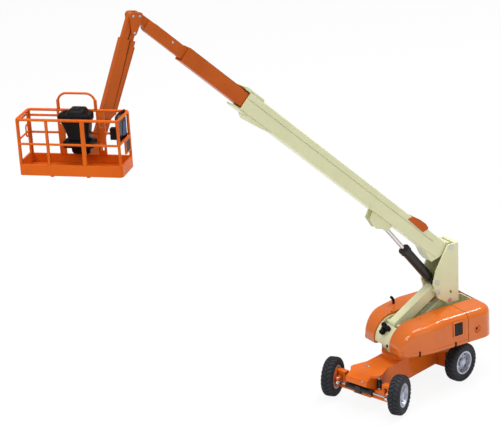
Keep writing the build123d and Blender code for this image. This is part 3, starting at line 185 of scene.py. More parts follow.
MATERIALS = {
    "chassis_paint": finish_material(
        "chassis orange", (222, 108, 30), (210, 96, 22), (0.2, 0.34), coat=0.15, level=0.15,
    ),
    "hood_paint": finish_material(
        "hood orange", (208, 104, 30), (198, 94, 24), (0.16, 0.28), coat=0.6, level=0.2,
    ),
    "boom_paint": finish_material(
        "boom orange", (188, 88, 22), (176, 78, 18), (0.26, 0.4), coat=0.08, level=0.12,
    ),
    "basket_paint": finish_material(
        "basket orange", (214, 98, 22), (204, 88, 18), (0.24, 0.38), coat=0.06, level=0.06,
    ),
    "cream_paint": finish_material(
        "cream", (216, 216, 176), (206, 206, 164), (0.25, 0.4), coat=0.1, level=0.2,
    ),
    "tyre_rubber": finish_material(
        "rubber", (38, 39, 44), (28, 30, 34), (0.55, 0.75), bump=0.08,
    ),
    "rim_silver": finish_material(
        "rim silver", (186, 190, 204), (160, 164, 180), (0.3, 0.45), metallic=0.6,
    ),
    "pin_steel": finish_material(
        "pin steel", (196, 194, 200), (166, 164, 172), (0.25, 0.4), metallic=0.8,
    ),
    "rod_chrome": finish_material(
        "rod chrome", (215, 215, 218), (190, 190, 195), (0.12, 0.22), metallic=1.0,
    ),
    "black_paint": finish_material(
        "black paint", (34, 32, 30), (24, 23, 22), (0.3, 0.45), coat=0.15,
    ),
    "black_plastic": finish_material(
        "black plastic", (18, 14, 14), (12, 10, 10), (0.3, 0.45), bump=0.06, level=0.12,
    ),
    "black_gloss": finish_material(
        "black gloss", (14, 15, 19), (10, 11, 14), (0.2, 0.32), coat=0.1, level=0.2,
    ),
}
# partly the end panel's own blue tint, partly a painted reflection on its glossy curve
BLUE_PANE_AND_SHEEN = finish_material(
    "dark blue pane and sheen", (28, 62, 130), (18, 40, 92), (0.15, 0.25), coat=0.15, level=0.2,
)
# painted shade: dark orange for strips that stand for shadow in the jib's slits and along the
# boom's shaded top edges
SHADE_LINE_PAINT = finish_material("painted shade line", (120, 52, 18), (96, 40, 12), (0.4, 0.55), level=0.1)
slot_of = {s["node"]: s["material_slot"] for s in frame["record"]["subparts"]}
for name, obj in nodes.items():
    obj.data.materials.clear()
    obj.data.materials.append(MATERIALS[slot_of[name]])


# Frames of the bodies at rest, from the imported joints: x forward or along, y left, z up
def frame_at(origin, x_dir):
    """Matrix of a frame with its x axis given and its y axis level."""
    x = Vector(x_dir).normalized()
    y = UP.cross(x).normalized()
    z = x.cross(y)
    return Matrix.Translation(origin) @ Matrix((x, y, z)).transposed().to_4x4()


def heading(angle):
    """Level direction, its angle in degrees."""
    a = math.radians(angle)
    return Vector((math.cos(a), math.sin(a), 0))


SWING_REST = -15.8
BASKET_HEADING = 29.2
JIB_PITCH = math.radians(-67.2)
BASKET_LOW = 0.23693
joint = {j["name"]: j for j in frame["record"]["behaviour"]["joints"]}
body_x = heading(SWING_REST)
jib_x = body_x * math.cos(JIB_PITCH) + UP * math.sin(JIB_PITCH)
turn_at = Vector(joint["basket_rotate"]["pos_m"])
CHASSIS = Matrix.Identity(4)
BODY = frame_at((0, 0, 0), body_x)
BOOM = frame_at(joint["boom_lift"]["pos_m"], joint["mid_slide"]["axis"])
JIB = frame_at(joint["jib_lift"]["pos_m"], jib_x)
BASKET = frame_at((turn_at.x, turn_at.y, BASKET_LOW), heading(BASKET_HEADING))
WORLD = Matrix.Identity(4)

# Which plane an outline lies in, and where its third value goes
PLANES = {
    "xz": lambda u, v, w: (u, w, v),
    "xy": lambda u, v, w: (u, v, w),
    "yz": lambda u, v, w: (w, u, v),
}
SHARP_ANGLE = 35.0


def rectangle(u0, v0, u1, v1):
    return ((u0, v0), (u1, v0), (u1, v1), (u0, v1))


class Sculpt:
    """One piece built in mesh code, in millimetres in its own frame."""

    def __init__(self, matrix):
        self.matrix = matrix
        self.mesh = bmesh.new()

    def points(self, spots):
        return [self.mesh.verts.new(spot) for spot in spots]

    def join(self, rings):
        """Faces from each closed ring of points to the next one."""
        for low, high in zip(rings, rings[1:]):
            for k in range(len(low)):
                m = (k + 1) % len(low)
                self.mesh.faces.new((low[k], low[m], high[m], high[k]))

    def close(self, rings):
        """Skin over a row of rings, with a face at both ends."""
        self.join(rings)
        self.mesh.faces.new(tuple(reversed(rings[0])))
        self.mesh.faces.new(tuple(rings[-1]))

    def lathe(self, centre, normal, profile, sides=24):
        """Turned form round an axis through a point: profile rows are (radius, height)."""
        centre = Vector(centre)
        n = Vector(normal).normalized()
        a = n.orthogonal().normalized()
        b = n.cross(a)
        rings = []
        for radius, height in profile:
            ring = []
            for k in range(sides):
                t = 2 * math.pi * k / sides
                ring.append(centre + n * height + (a * math.cos(t) + b * math.sin(t)) * radius)
            rings.append(self.points(ring))
        self.close(rings)

    def prism(self, outline, low, high, plane="xz"):
        """Outline in one plane, carried along the third axis from low to high."""
        first = self.points(PLANES[plane](u, v, low) for u, v in outline)
        last = self.points(PLANES[plane](u, v, high) for u, v in outline)
        self.mesh.faces.new(tuple(first))
        self.mesh.faces.new(tuple(reversed(last)))
        for k in range(len(outline)):
            m = (k + 1) % len(outline)
            self.mesh.faces.new((first[m], first[k], last[k], last[m]))

    def box(self, low, high):
        self.prism(rectangle(low[0], low[1], high[0], high[1]), low[2], high[2], "xy")

    def border(self, low, high, wall, start, end):
        """Rectangular ring round an opening in the side plane, from start to end along y."""
        loops = []
        for y in (start, end):
            for grow in (0.0, wall):
                outline = rectangle(low[0] - grow, low[1] - grow, high[0] + grow, high[1] + grow)
                loops.append(self.points((x, y, z) for x, z in outline))
        inner_low, outer_low, inner_high, outer_high = loops
        self.join((inner_low, outer_low, outer_high, inner_high, inner_low))

    def stack(self, rows, steps=6):
        """Form through level rounded rectangles: (z, x low, x high, y low, y high, corner)."""
        rings = []
        for z, x0, x1, y0, y1, corner in rows:
            ring = []
            for cx, cy, start in (
                (x1 - corner, y1 - corner, 0), (x0 + corner, y1 - corner, 90),
                (x0 + corner, y0 + corner, 180), (x1 - corner, y0 + corner, 270),
            ):
                ring += quarter(cx, cy, z, corner, start, steps)
            rings.append(self.points(ring))
        self.close(rings)

    def tube(self, start, end, radius, sides=16):
        run = Vector(end) - Vector(start)
        self.lathe(start, run, ((radius, 0), (radius, run.length)), sides)

    def loop_tube(self, spots, radius, sides=12):
        """Round bar along a closed level line."""
        rings = []
        for k, spot in enumerate(spots):
            along = (Vector(spots[(k + 1) % len(spots)]) - Vector(spots[k - 1])).normalized()
            side_way = along.cross(UP)
            ring = []
            for m in range(sides):
                t = 2 * math.pi * m / sides
                ring.append(Vector(spot) + (side_way * math.cos(t) + UP * math.sin(t)) * radius)
            rings.append(self.points(ring))
        self.join(rings + rings[:1])

    def done(self, name, body, slot, material=None, bevel=0.0, smooth=SHARP_ANGLE, replaces=None):
        """Finish the piece: its mesh, its material, softened edges and the body it rides on."""
        bmesh.ops.recalc_face_normals(self.mesh, faces=self.mesh.faces[:])
        data = bpy.data.meshes.new(name)
        self.mesh.to_mesh(data)
        self.mesh.free()
        data.transform(self.matrix @ Matrix.Scale(MM, 4))
        data.materials.append(material or MATERIALS[slot])
        for face in data.polygons:
            face.use_smooth = True
        data.set_sharp_from_angle(angle=math.radians(smooth))
        piece = bpy.data.objects.new(name, data)
        scene.collection.objects.link(piece)
        if bevel:
            soften = piece.modifiers.new("soften", "BEVEL")
            soften.width = bevel * MM
            soften.segments = 2
            soften.limit_method = "ANGLE"
            soften.angle_limit = math.radians(SHARP_ANGLE)
        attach(piece, body)
        if replaces:
            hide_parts(replaces)


def quarter(x, y, z, radius, start, steps=6):
    """Level quarter circle round a centre, from the start angle in degrees."""
    spots = []
    for k in range(steps + 1):
        t = math.radians(start + 90 * k / steps)
        spots.append((x + radius * math.cos(t), y + radius * math.sin(t), z))
    return spots


def on_circle(radius, off, turn):
    """Point of a wheel's frame, whose y axis is the wheel's own."""
    return (radius * math.cos(turn), off, radius * math.sin(turn))


def on_surface(u, v, node):
    """Point in millimetres and outward normal where a photo pixel's ray meets a CAD node."""
    ray = forward + rolled_right * ((u - PHOTO_CENTRE[0]) / PIXEL_FOCUS)
    ray -= rolled_up * ((v - PHOTO_CENTRE[1]) / PIXEL_FOCUS)
    data = nodes[node].data
    faces = [tuple(f.vertices) for f in data.polygons]
    tree = BVHTree.FromPolygons([p.co for p in data.vertices], faces)
    spot, normal = tree.ray_cast(CAMERA_AT, ray.normalized())[:2]
    if spot is None:
        raise ValueError("no surface of %s at %s, %s" % (node, u, v))
    if normal.dot(ray) > 0:
        normal = -normal
    return spot / MM, normal


RIVET = ((0.95, -0.2), (0.95, 0.25), (0.8, 0.5), (0.5, 0.66), (0.2, 0.72))


def dome(scale):
    return [(r * scale, h * scale) for r, h in RIVET]


# Wheels: tyre with sidewall rings and two staggered rows of swept lugs, hub cap, bolts, and black
# discs of painted shade in the rim's holes
CARCASS = (
    # radius, distance from the middle plane
    (9.4, -3.95), (10.2, -4.3), (11.2, -4.6), (11.5, -4.8), (11.9, -4.8), (12.2, -4.65),
    (13.2, -4.6), (14.2, -4.3), (15.0, -3.5), (15.15, 0.0), (15.0, 3.5), (14.2, 4.3),
    (13.2, 4.6), (12.2, 4.65), (11.9, 4.8), (11.5, 4.8), (11.2, 4.6), (10.2, 4.3), (9.4, 3.95),
)
LUG_ROWS = (
    # distance from the middle plane, top radius, foot radius, sweep in lug pitches
    (0.15, 15.7, 14.9, 0.0), (2.2, 15.68, 14.9, 0.22), (3.4, 15.45, 14.6, 0.4),
    (4.15, 14.75, 14.0, 0.5), (4.7, 14.1, 13.4, 0.55),
)
LUG_COUNT = 27
LUG_PITCH = 2 * math.pi / LUG_COUNT
LUG_SHARE = 0.68
TYRE_SIDES = 66
WHEEL_AXIS = (0, 1, 0)
RIM_COUNT = 8
BOLT_CIRCLE, BOLT_FOOT = 5.0, 0.7
HOLE_CIRCLE, HOLE_FOOT = 6.9, 1.1
CAP_FOOT, RIM_RING_FOOT, DRUM_FOOT = 2.42, 0.76, -4.7
HUB_CAP = ((3.3, 0), (3.3, 0.35), (2.5, 0.6), (2.4, 1.0), (1.3, 1.25), (0.5, 1.3))
RIM_BOLT = ((0.55, 0), (0.55, 0.6), (0.4, 0.75))
RIM_RING = ((6.3, 0), (6.3, 0.12), (6.0, 0.2), (5.9, 0.05))
RIM_HOLE = ((0.62, -0.6), (0.62, 0.02), (0.5, 0.06))
DRUM = ((6.6, 0), (7.6, 0.5), (7.8, 1.0), (7.8, 3.0), (7.2, 3.3))


def add_lug(tyre, start, way):
    """One lug on one side of the middle plane: a bar of rows that sweeps back and outwards."""
    rows = []
    for off, top, foot, sweep in LUG_ROWS:
        turns = (start - sweep * LUG_PITCH, start - (sweep - LUG_SHARE) * LUG_PITCH)
        spots = [on_circle(r, way * off, turn) for turn in turns for r in (foot, top)]
        rows.append(tyre.points(spots))
    for a, b in zip(rows, rows[1:]):
        for p, q in ((1, 3), (0, 1), (3, 2), (2, 0)):
            tyre.mesh.faces.new((a[p], a[q], b[q], b[p]))
    for row in (rows[0], rows[-1]):
        tyre.mesh.faces.new((row[0], row[1], row[3], row[2]))


for place in ("front_left", "front_right", "rear_left", "rear_right"):
    spin = joint["spin_" + place]
    body = "wheel_" + place
    outward = Vector(spin["axis"]) * (1 if place.endswith("left") else -1)
    wheel = frame_at(spin["pos_m"], outward.cross(UP))

    tyre = Sculpt(wheel)
    turns = [2 * math.pi * k / TYRE_SIDES for k in range(TYRE_SIDES)]
    rings = [tyre.points(on_circle(radius, off, t) for t in turns) for radius, off in CARCASS]
    tyre.join(rings + rings[:1])
    for way, stagger in ((1, 0.0), (-1, 0.5)):
        for k in range(LUG_COUNT):
            add_lug(tyre, (k + stagger) * LUG_PITCH, way)
    tyre.done("lugged_tyre_" + place, body, "tyre_rubber", replaces="tyre_" + place, smooth=28)

    hub = Sculpt(wheel)
    hub.lathe((0, CAP_FOOT, 0), WHEEL_AXIS, HUB_CAP, 32)
    for k in range(RIM_COUNT):
        t = 2 * math.pi * (k + 0.5) / RIM_COUNT
        hub.lathe(on_circle(BOLT_CIRCLE, BOLT_FOOT, t), WHEEL_AXIS, RIM_BOLT, 6)
    hub.lathe((0, RIM_RING_FOOT, 0), WHEEL_AXIS, RIM_RING, 48)
    hub.done("hub_cap_" + place, body, "rim_silver")

    # painted shade: black discs inside the rim's holes stand for their dark insides
    hole_shade = Sculpt(wheel)
    for k in range(RIM_COUNT):
        t = 2 * math.pi * k / RIM_COUNT
        hole_shade.lathe(on_circle(HOLE_CIRCLE, HOLE_FOOT, t), WHEEL_AXIS, RIM_HOLE, 16)
    hole_shade.done("rim_hole_shade_" + place, body, "black_paint")

    # drum on the knuckle, inside the front wheel's dish
    if place.startswith("front"):
        drum = Sculpt(wheel)
        drum.lathe((0, DRUM_FOOT, 0), WHEEL_AXIS, DRUM, 40)
        drum.done("drum_" + place, place.replace("front", "steer"), "chassis_paint", bevel=0.15)

# Turntable: sills and latches on both hoods, surround and windows of the control panel
HOOD_SIDE = (
    # plan of the left hood's lower edge, x and y
    (-44.8, 33.0), (-31.0, 33.0), (-18.0, 33.0), (-9.0, 32.2),
    (-0.6, 30.6), (5.6, 28.8), (11.2, 26.2), (13.0, 24.6),
)
SILL_LOW, SILL_HIGH = 28.2, 30.4
SILL_PROUD, SILL_SUNK = 0.35, 0.8
SILL_LEAD, SILL_LAG = 0.12, 0.3
for name, way in (("left", 1), ("right", -1)):
    lead = SILL_LEAD / (len(HOOD_SIDE) - 1)
    outer = [(x + lead * k, way * (y + SILL_PROUD)) for k, (x, y) in enumerate(HOOD_SIDE)]
    inner = [(x - SILL_LAG, way * (y - SILL_SUNK)) for x, y in reversed(HOOD_SIDE)]
    sill = Sculpt(BODY)
    sill.prism(outer + inner, SILL_LOW, SILL_HIGH, "xy")
    sill.done("hood_sill_" + name, "turntable", "hood_paint", bevel=0.2)

LATCHES = ((-0.1, 30.8), (-32.6, 33.3))
LATCH_SHAPE = ((-0.6, 27.4), (0.6, 27.4), (0.1, 31.2), (-0.9, 31.2))
LATCH_SUNK, LATCH_PROUD = 0.6, 0.7
latches = Sculpt(BODY)
for x, y in LATCHES:
    for way in (1, -1):
        y0, y1 = sorted((way * (y - LATCH_SUNK), way * (y + LATCH_PROUD)))
        latches.prism([(x + dx, z) for dx, z in LATCH_SHAPE], y0, y1)
latches.done("hood_latches", "turntable", "black_plastic", bevel=0.15)

PANEL_LOW, PANEL_HIGH = (-39.4, 36.6), (-31.6, 47.2)
PANEL_WALL = 0.9
PANEL_DEPTH = (33.0, 34.1)
WINDOW_COLUMNS = ((-38.9, -36.6), (-35.8, -32.2))
WINDOW_LOW, WINDOW_HIGH = 37.2, 46.4
WINDOW_DEPTH = (33.5, 33.75)
surround = Sculpt(BODY)
surround.border(PANEL_LOW, PANEL_HIGH, PANEL_WALL, *PANEL_DEPTH)
surround.done("panel_surround", "turntable", "hood_paint", bevel=0.15)
windows = Sculpt(BODY)
for x0, x1 in WINDOW_COLUMNS:
    windows.prism(rectangle(x0, WINDOW_LOW, x1, WINDOW_HIGH), *WINDOW_DEPTH)
windows.done("panel_windows", "turntable", "black_gloss", bevel=0.1)

# Rivets and dots that the photograph shows, each on the surface under its pixel
DOTS = (
    # photo pixel, node, scale, slot, body
    ((407.3, 340.0), "hood_left", 0.7, "pin_steel", "turntable"),
    ((391.3, 311.3), "hood_right", 0.55, "black_plastic", "turntable"),
    ((387.3, 346.0), "turntable_deck", 1.3, "black_plastic", "turntable"),
    ((420.2, 318.6), "hood_left", 0.7, "hood_paint", "turntable"),
    ((438.7, 291.2), "upright", 0.9, "pin_steel", "upright"),
    ((362.1, 381.9), "chassis_frame", 0.9, "pin_steel", "chassis"),
)
for k, (pixel, node, scale, slot, body) in enumerate(DOTS):
    spot, normal = on_surface(*pixel, node)
    rivet = Sculpt(WORLD)
    rivet.lathe(spot, normal, dome(scale), 20)
    rivet.done("rivet_%d_%s" % (k, node), body, slot)

# Chassis: plate over the nose's slope and a silver slot with its pin
NOSE_PLATE = ((43.6, 18.62), (49.6, 15.5), (49.75, 15.75), (43.75, 18.9))
NOSE_HALF_WIDTH = 9.6
NOSE_SLOT = rectangle(30.2, -7.2, 32.0, -1.8)
NOSE_SLOT_LOW, NOSE_SLOT_HIGH = 18.6, 18.9
NOSE_PIN_AT = (31.1, -2.6, 18.8)
nose_plate = Sculpt(CHASSIS)
nose_plate.prism(NOSE_PLATE, -NOSE_HALF_WIDTH, NOSE_HALF_WIDTH)
nose_plate.done("nose_plate", "chassis", "chassis_paint", bevel=0.1)
nose_slot = Sculpt(CHASSIS)
nose_slot.prism(NOSE_SLOT, NOSE_SLOT_LOW, NOSE_SLOT_HIGH, "xy")
nose_slot.lathe(NOSE_PIN_AT, UP, dome(0.9), 18)
nose_slot.done("nose_slot", "chassis", "pin_steel", bevel=0.1)

# Chassis: silver ends of the lockout cylinders, and the bolts of the steering rod's eyes
LOCKOUT_AT = ((37.0, 12.7), (37.0, -12.7))
LOCKOUT_ENDS = (
    # height, profile
    (5.95, ((1.7, 0), (1.9, 0.5), (1.6, 1.3), (1.35, 1.5))),
    (14.6, ((1.35, 0), (1.8, 0.5), (1.8, 1.4), (1.5, 1.95))),
)
lockout = Sculpt(CHASSIS)
for x, y in LOCKOUT_AT:
    for z, profile in LOCKOUT_ENDS:
        lockout.lathe((x, y, z), UP, profile, 20)
lockout.done("lockout_joints", "chassis", "pin_steel")

STEER_EYES = (("left", 46.04, 27.6), ("right", 46.04, -22.4))
STEER_BOLT = (
    # height, profile, sides
    (8.85, ((1.3, 0), (1.3, 0.7), (0.9, 1.0), (0.4, 1.1)), 6),
    (3.6, ((0.7, 0), (1.25, 0.5), (1.25, 1.7), (0.7, 1.75)), 20),
)
for name, x, y in STEER_EYES:
    bolt = Sculpt(CHASSIS)
    for z, profile, sides in STEER_BOLT:
        bolt.lathe((x, y, z), UP, profile, sides)
    bolt.done("steer_bolt_" + name, "steer_" + name, "pin_steel")

# Turntable: lobes of the knob on the nose, and a sleeve on the hose stub
KNOB_TILT = math.radians(50)
KNOB_AT = Vector((10.0, 0, 42.5))
KNOB_LOBES = ((-2.7, 2.4), (3.4, 1.2), (0.6, -3.5))
LOBE_FOOT, KNOB_HEAD_FOOT = 1.9, 2.3
LOBE = ((2.1, 0), (2.15, 0.6), (1.9, 1.3), (1.2, 1.8), (0.4, 2.0))
KNOB_HEAD = ((1.7, 0), (1.7, 1.0), (1.2, 1.5), (0.4, 1.6))
knob_axis = Vector((math.cos(KNOB_TILT), 0, math.sin(KNOB_TILT)))
knob_rise = Vector((-math.sin(KNOB_TILT), 0, math.cos(KNOB_TILT)))
knob = Sculpt(BODY)
for across, rise in KNOB_LOBES:
    spot = KNOB_AT + Vector((0, across, 0)) + knob_rise * rise
    knob.lathe(spot + knob_axis * LOBE_FOOT, knob_axis, LOBE, 20)
knob.lathe(KNOB_AT + knob_axis * KNOB_HEAD_FOOT, knob_axis, KNOB_HEAD, 20)
knob.done("knob_lobes", "turntable", "black_plastic")

STUB_Y = -22.4
STUB = ((-13.5, 50.9), (-13.5, 52.6), (-13.2, 54.2), (-12.3, 55.8), (-11.2, 56.9))
sleeve = Sculpt(BODY)
for (x0, z0), (x1, z1) in zip(STUB, STUB[1:]):
    start = Vector((x0, STUB_Y, z0))
    run = Vector((x1, STUB_Y, z1)) - start
    rib = ((1.0, -0.1), (1.05, 0.2), (1.05, run.length - 0.1), (0.95, run.length + 0.1))
    sleeve.lathe(start, run, rib, 16)
sleeve.done("hose_sleeve", "turntable", "black_plastic")

# Jib: painted shade, a narrow dark strip on each side where the slit between the box and the link
# inside its skirts falls in shadow
SLIT = ((17.0, -3.3), (17.0, -4.3), (46.0, -5.3), (66.0, -5.75), (66.0, -5.55), (40.0, -4.7))
SLIT_STARTS = (2.3, -2.45)
SLIT_DEPTH = 0.15
slit_shade = Sculpt(JIB)
for y in SLIT_STARTS:
    slit_shade.prism(SLIT, y, y + SLIT_DEPTH)
slit_shade.done("jib_slit_shade", "jib", "boom_paint", SHADE_LINE_PAINT)

# Upright: rivets at its pivots, seen on both side plates
UPRIGHT_RIVETS = ((-34.56, 65.07), (-45.56, 55.87), (-48.06, 99.27), (-34.16, 73.17))
UPRIGHT_FACE = 8.75
FLAT_RIVET = ((1.9, 0), (1.9, 0.38), (1.5, 0.45), (0.6, 0.47))
plates = Sculpt(BODY)
for x, z in UPRIGHT_RIVETS:
    for way in (1, -1):
        plates.lathe((x, way * UPRIGHT_FACE, z), (0, way, 0), FLAT_RIVET)
plates.done("upright_rivets", "upright", "pin_steel")

# Basket: console in rounded steps, with buttons and switches
CONSOLE_PARTS = (
    # stacked forms, rows as in stack()
    (
        (10.8, 14.4, 21.5, -3.0, 8.8, 1.2), (12.5, 14.2, 22.6, -3.6, 9.4, 1.5),
        (15.6, 14.2, 22.8, -3.8, 9.6, 1.5),
    ),
    (
        (15.5, 14.2, 24.2, -8.3, 12.4, 1.8), (16.2, 14.2, 25.0, -9.0, 13.2, 2.0),
        (19.4, 14.2, 25.0, -9.0, 13.2, 2.0), (20.0, 14.2, 24.4, -8.4, 12.6, 1.8),
    ),
    (
        (19.9, 14.2, 22.8, -5.0, 9.2, 1.5), (26.0, 14.2, 23.6, -6.2, 9.8, 1.8),
        (32.0, 14.2, 24.8, -8.2, 10.8, 2.0), (34.4, 14.2, 25.6, -9.2, 11.6, 2.0),
    ),
    (
        (34.0, 14.2, 25.4, -9.6, 11.4, 1.6), (34.8, 14.2, 26.4, -10.6, 12.2, 2.4),
        (38.0, 14.2, 26.6, -10.8, 12.4, 2.4), (39.0, 14.2, 26.2, -10.4, 12.0, 2.2),
        (39.4, 14.2, 25.4, -9.6, 11.2, 1.8),
    ),
    (
        (39.3, 14.4, 24.6, -4.2, 9.0, 1.2), (41.0, 14.6, 24.2, -3.4, 8.2, 1.2),
        (42.3, 15.0, 23.4, -2.6, 7.4, 1.2), (42.6, 15.4, 23.0, -2.2, 7.0, 1.0),
    ),
)
console = Sculpt(BASKET)
for rows in CONSOLE_PARTS:
    console.stack(rows)
console.done("console_shell", "basket", "black_plastic", smooth=40, replaces="console")

BUTTON = ((1.1, 0), (1.1, 0.3), (0.8, 0.45), (0.4, 0.45))
BUTTONS_AT = ((17.5, 0.4, 42.5), (17.5, 4.4, 42.5), (21.0, 2.4, 42.5))
SWITCH = ((0.8, 0), (0.8, 0.6), (0.4, 0.8))
SWITCHES_AT = ((17.0, -7.2, 39.3), (20.0, -7.2, 39.3), (23.2, -7.2, 39.3), (22.8, 10.2, 39.3))
controls = Sculpt(BASKET)
for profile, places in ((BUTTON, BUTTONS_AT), (SWITCH, SWITCHES_AT)):
    for spot in places:
        controls.lathe(spot, UP, profile, 16)
controls.done("console_controls", "basket", "black_gloss")

# Basket: rails with the photograph's slimmer posts, rounds for the outer bars and flats inside
RAIL_BACK, RAIL_FRONT, RAIL_END, RAIL_TOP, RAIL_LOW = 13.0, 36.4, 35.6, 39.0, 7.5
RAIL_CORNER = 2.0
RAIL_RADIUS, MID_RADIUS = 1.0, 0.8
POST_INSET = 0.3
MID_RAIL = 22.4
FLAT_HALF = 0.8
FLAT_POSTS = (
    # x, y, width, top
    (RAIL_FRONT, -14.8, 1.7, RAIL_TOP), (RAIL_FRONT, 10.5, 2.6, RAIL_TOP),
    (RAIL_BACK, -12.0, 3.2, 28.9), (RAIL_BACK, -14.2, 1.5, RAIL_TOP),
    (RAIL_BACK, 13.7, 1.4, RAIL_TOP), (RAIL_BACK, 17.7, 1.4, RAIL_TOP),
)
# Flat upright of the back in three parts, each with its lower and upper end
STRIP_Y = (14.4, 17.0)
STRIP_PARTS = ((RAIL_LOW, 10.5), (16.5, 27.0), (33.0, RAIL_TOP))
LEVEL_BARS = (
    # both ends
    ((RAIL_FRONT, -RAIL_END, MID_RAIL - 0.4), (RAIL_FRONT, RAIL_END, MID_RAIL - 0.4)),
    ((RAIL_BACK, -RAIL_END, MID_RAIL + 0.5), (RAIL_BACK, RAIL_END, MID_RAIL + 0.5)),
    ((RAIL_BACK, -RAIL_END, 35.0), (RAIL_BACK, -14.2, 35.0)),
    ((RAIL_BACK, RAIL_END, MID_RAIL), (RAIL_FRONT, RAIL_END, MID_RAIL)),
)
back_x, front_x = RAIL_BACK + RAIL_CORNER, RAIL_FRONT - RAIL_CORNER
low_y, high_y = RAIL_CORNER - RAIL_END, RAIL_END - RAIL_CORNER
line = []
for x, y, start in (
    (front_x, high_y, 0), (back_x, high_y, 90), (back_x, low_y, 180), (front_x, low_y, 270),
):
    line += quarter(x, y, RAIL_TOP, RAIL_CORNER, start)
rails = Sculpt(BASKET)
rails.loop_tube(line, RAIL_RADIUS)
for x in (RAIL_BACK + POST_INSET, RAIL_FRONT - POST_INSET):
    for y in (POST_INSET - RAIL_END, RAIL_END - POST_INSET):
        rails.tube((x, y, RAIL_LOW), (x, y, RAIL_TOP), RAIL_RADIUS)
for x, y, wide, top in FLAT_POSTS:
    rails.box((x - FLAT_HALF, y - wide / 2, RAIL_LOW), (x + FLAT_HALF, y + wide / 2, top))
for low, high in STRIP_PARTS:
    rails.box((RAIL_BACK - FLAT_HALF, STRIP_Y[0], low), (RAIL_BACK + FLAT_HALF, STRIP_Y[1], high))
for start, end in LEVEL_BARS:
    rails.tube(start, end, MID_RADIUS)
rails.done("rail_frame", "basket", "basket_paint", replaces="basket_rails")

# Gate: round frame on its hinge stile, with a slim latch loop
GATE_Y, GATE_HINGE, GATE_FREE = -35.6, 15.6, 33.8
GATE_BARS = (8.9, 24.4, 36.7)
STILE_RADIUS, BAR_RADIUS, LOOP_RADIUS = 0.8, 0.67, 0.5
LOOP_AT, LOOP_HALF, LOOP_BEND, LOOP_STEPS = (18.6, 25.6), 2.2, 2.0, 8
gate = Sculpt(BASKET)
for x in (GATE_HINGE, GATE_FREE):
    low, high = GATE_BARS[0] - STILE_RADIUS, GATE_BARS[-1] + STILE_RADIUS
    gate.tube((x, GATE_Y, low), (x, GATE_Y, high), STILE_RADIUS)
for z in GATE_BARS:
    gate.tube((GATE_HINGE, GATE_Y, z), (GATE_FREE, GATE_Y, z), BAR_RADIUS)
loop = []
for start, rise in ((0, LOOP_HALF), (180, -LOOP_HALF)):
    for k in range(LOOP_STEPS + 1):
        t = math.radians(start + 180 * k / LOOP_STEPS)
        x = LOOP_AT[0] + LOOP_BEND * math.cos(t)
        loop.append((x, GATE_Y, LOOP_AT[1] + rise + LOOP_BEND * math.sin(t)))
for a, b in zip(loop, loop[1:] + loop[:1]):
    gate.tube(a, b, LOOP_RADIUS, 10)
gate.done("gate_frame", "gate", "basket_paint", replaces="gate")

# Basket: blue pane on the end panel's outer face, laid over its curve through photo pixels; its
# blue is partly the panel's own tint and partly a painted blue reflection
PANE_COLUMNS = (122.6, 123.7, 124.8, 125.9)
PANE_ROWS = (121.0, 124.7, 128.4, 132.1, 135.5)
PANE_PROUD = 0.2
pane = Sculpt(WORLD)
layers = ([], [])
for v in PANE_ROWS:
    for u in PANE_COLUMNS:
        spot, normal = on_surface(u, v, "end_panel")
        for layer, way in zip(layers, (1, -1)):
            layer += pane.points([spot + normal * PANE_PROUD * way])
wide, tall = len(PANE_COLUMNS), len(PANE_ROWS)
for layer in layers:
    for row in range(tall - 1):
        for k in range(wide - 1):
            a = row * wide + k
            pane.mesh.faces.new((layer[a], layer[a + 1], layer[a + wide + 1], layer[a + wide]))
last = wide * tall - 1
rim = list(range(wide)) + [wide * row + wide - 1 for row in range(1, tall)]
rim += [last - k for k in range(1, wide)] + [wide * row for row in range(tall - 2, 0, -1)]
for a, b in zip(rim, rim[1:] + rim[:1]):
    pane.mesh.faces.new((layers[0][a], layers[0][b], layers[1][b], layers[1][a]))
pane.done("end_panel_pane", "basket", "black_gloss", BLUE_PANE_AND_SHEEN)

# Basket: framed pocket under the right end's middle rail, against the back corner post
POCKET_X, POCKET_Y, POCKET_Z, POCKET_BAR = (14.0, 24.2), (34.9, 36.1), (12.0, 21.8), 1.1
PANEL_INSET, PANEL_SUNK = 0.9, 0.3
(x0, x1), (y0, y1), (z0, z1) = POCKET_X, POCKET_Y, POCKET_Z
pocket = Sculpt(BASKET)
inner_low, inner_high = (x0 + POCKET_BAR, z0 + POCKET_BAR), (x1 - POCKET_BAR, z1 - POCKET_BAR)
pocket.border(inner_low, inner_high, POCKET_BAR, y0, y1)
pocket.done("pocket_frame", "basket", "basket_paint", bevel=0.2)
dark = Sculpt(BASKET)
dark.box(
    (x0 + PANEL_INSET, y0 + PANEL_SUNK, z0 + PANEL_INSET),
    (x1 - PANEL_INSET, y1 - PANEL_SUNK, z1 - PANEL_INSET),
)
dark.done("pocket_panel", "basket", "black_plastic", bevel=0.15)

# Boom: rivet on the fly section's side, low enough to slide into the middle section
FLY_RIVET = ((0.85, -0.1), (0.85, 0.06), (0.6, 0.1))
spot, normal = on_surface(173.0, 42.4, "boom_fly")
flush = Sculpt(WORLD)
flush.lathe(spot, normal, FLY_RIVET, 20)
flush.done("fly_rivet", "boom_fly", "pin_steel")

# Boom: orange cap over the hoses, its top and two short sides
BASE_TOP = 0.65
BASE_SIDE = 6.25
CAP_WALL = 0.5
CAP = ((47.0, 0.0), (46.0, 0.85), (39.5, 2.0), (32.0, 2.25), (28.4, 1.2), (27.4, 0.0))
CAP_SIDE = ((47.0, 0.3), (49.6, -3.6), (30.4, -4.4), (27.4, 0.3))
cap = Sculpt(BOOM)
cap.prism([(x, BASE_TOP + z) for x, z in CAP], -BASE_SIDE - CAP_WALL, BASE_SIDE + CAP_WALL)
for y in (BASE_SIDE, -BASE_SIDE - CAP_WALL):
    cap.prism([(x, BASE_TOP + z) for x, z in CAP_SIDE], y, y + CAP_WALL)
cap.done("boom_cap", "boom", "boom_paint", bevel=0.15, replaces="boom_cover")
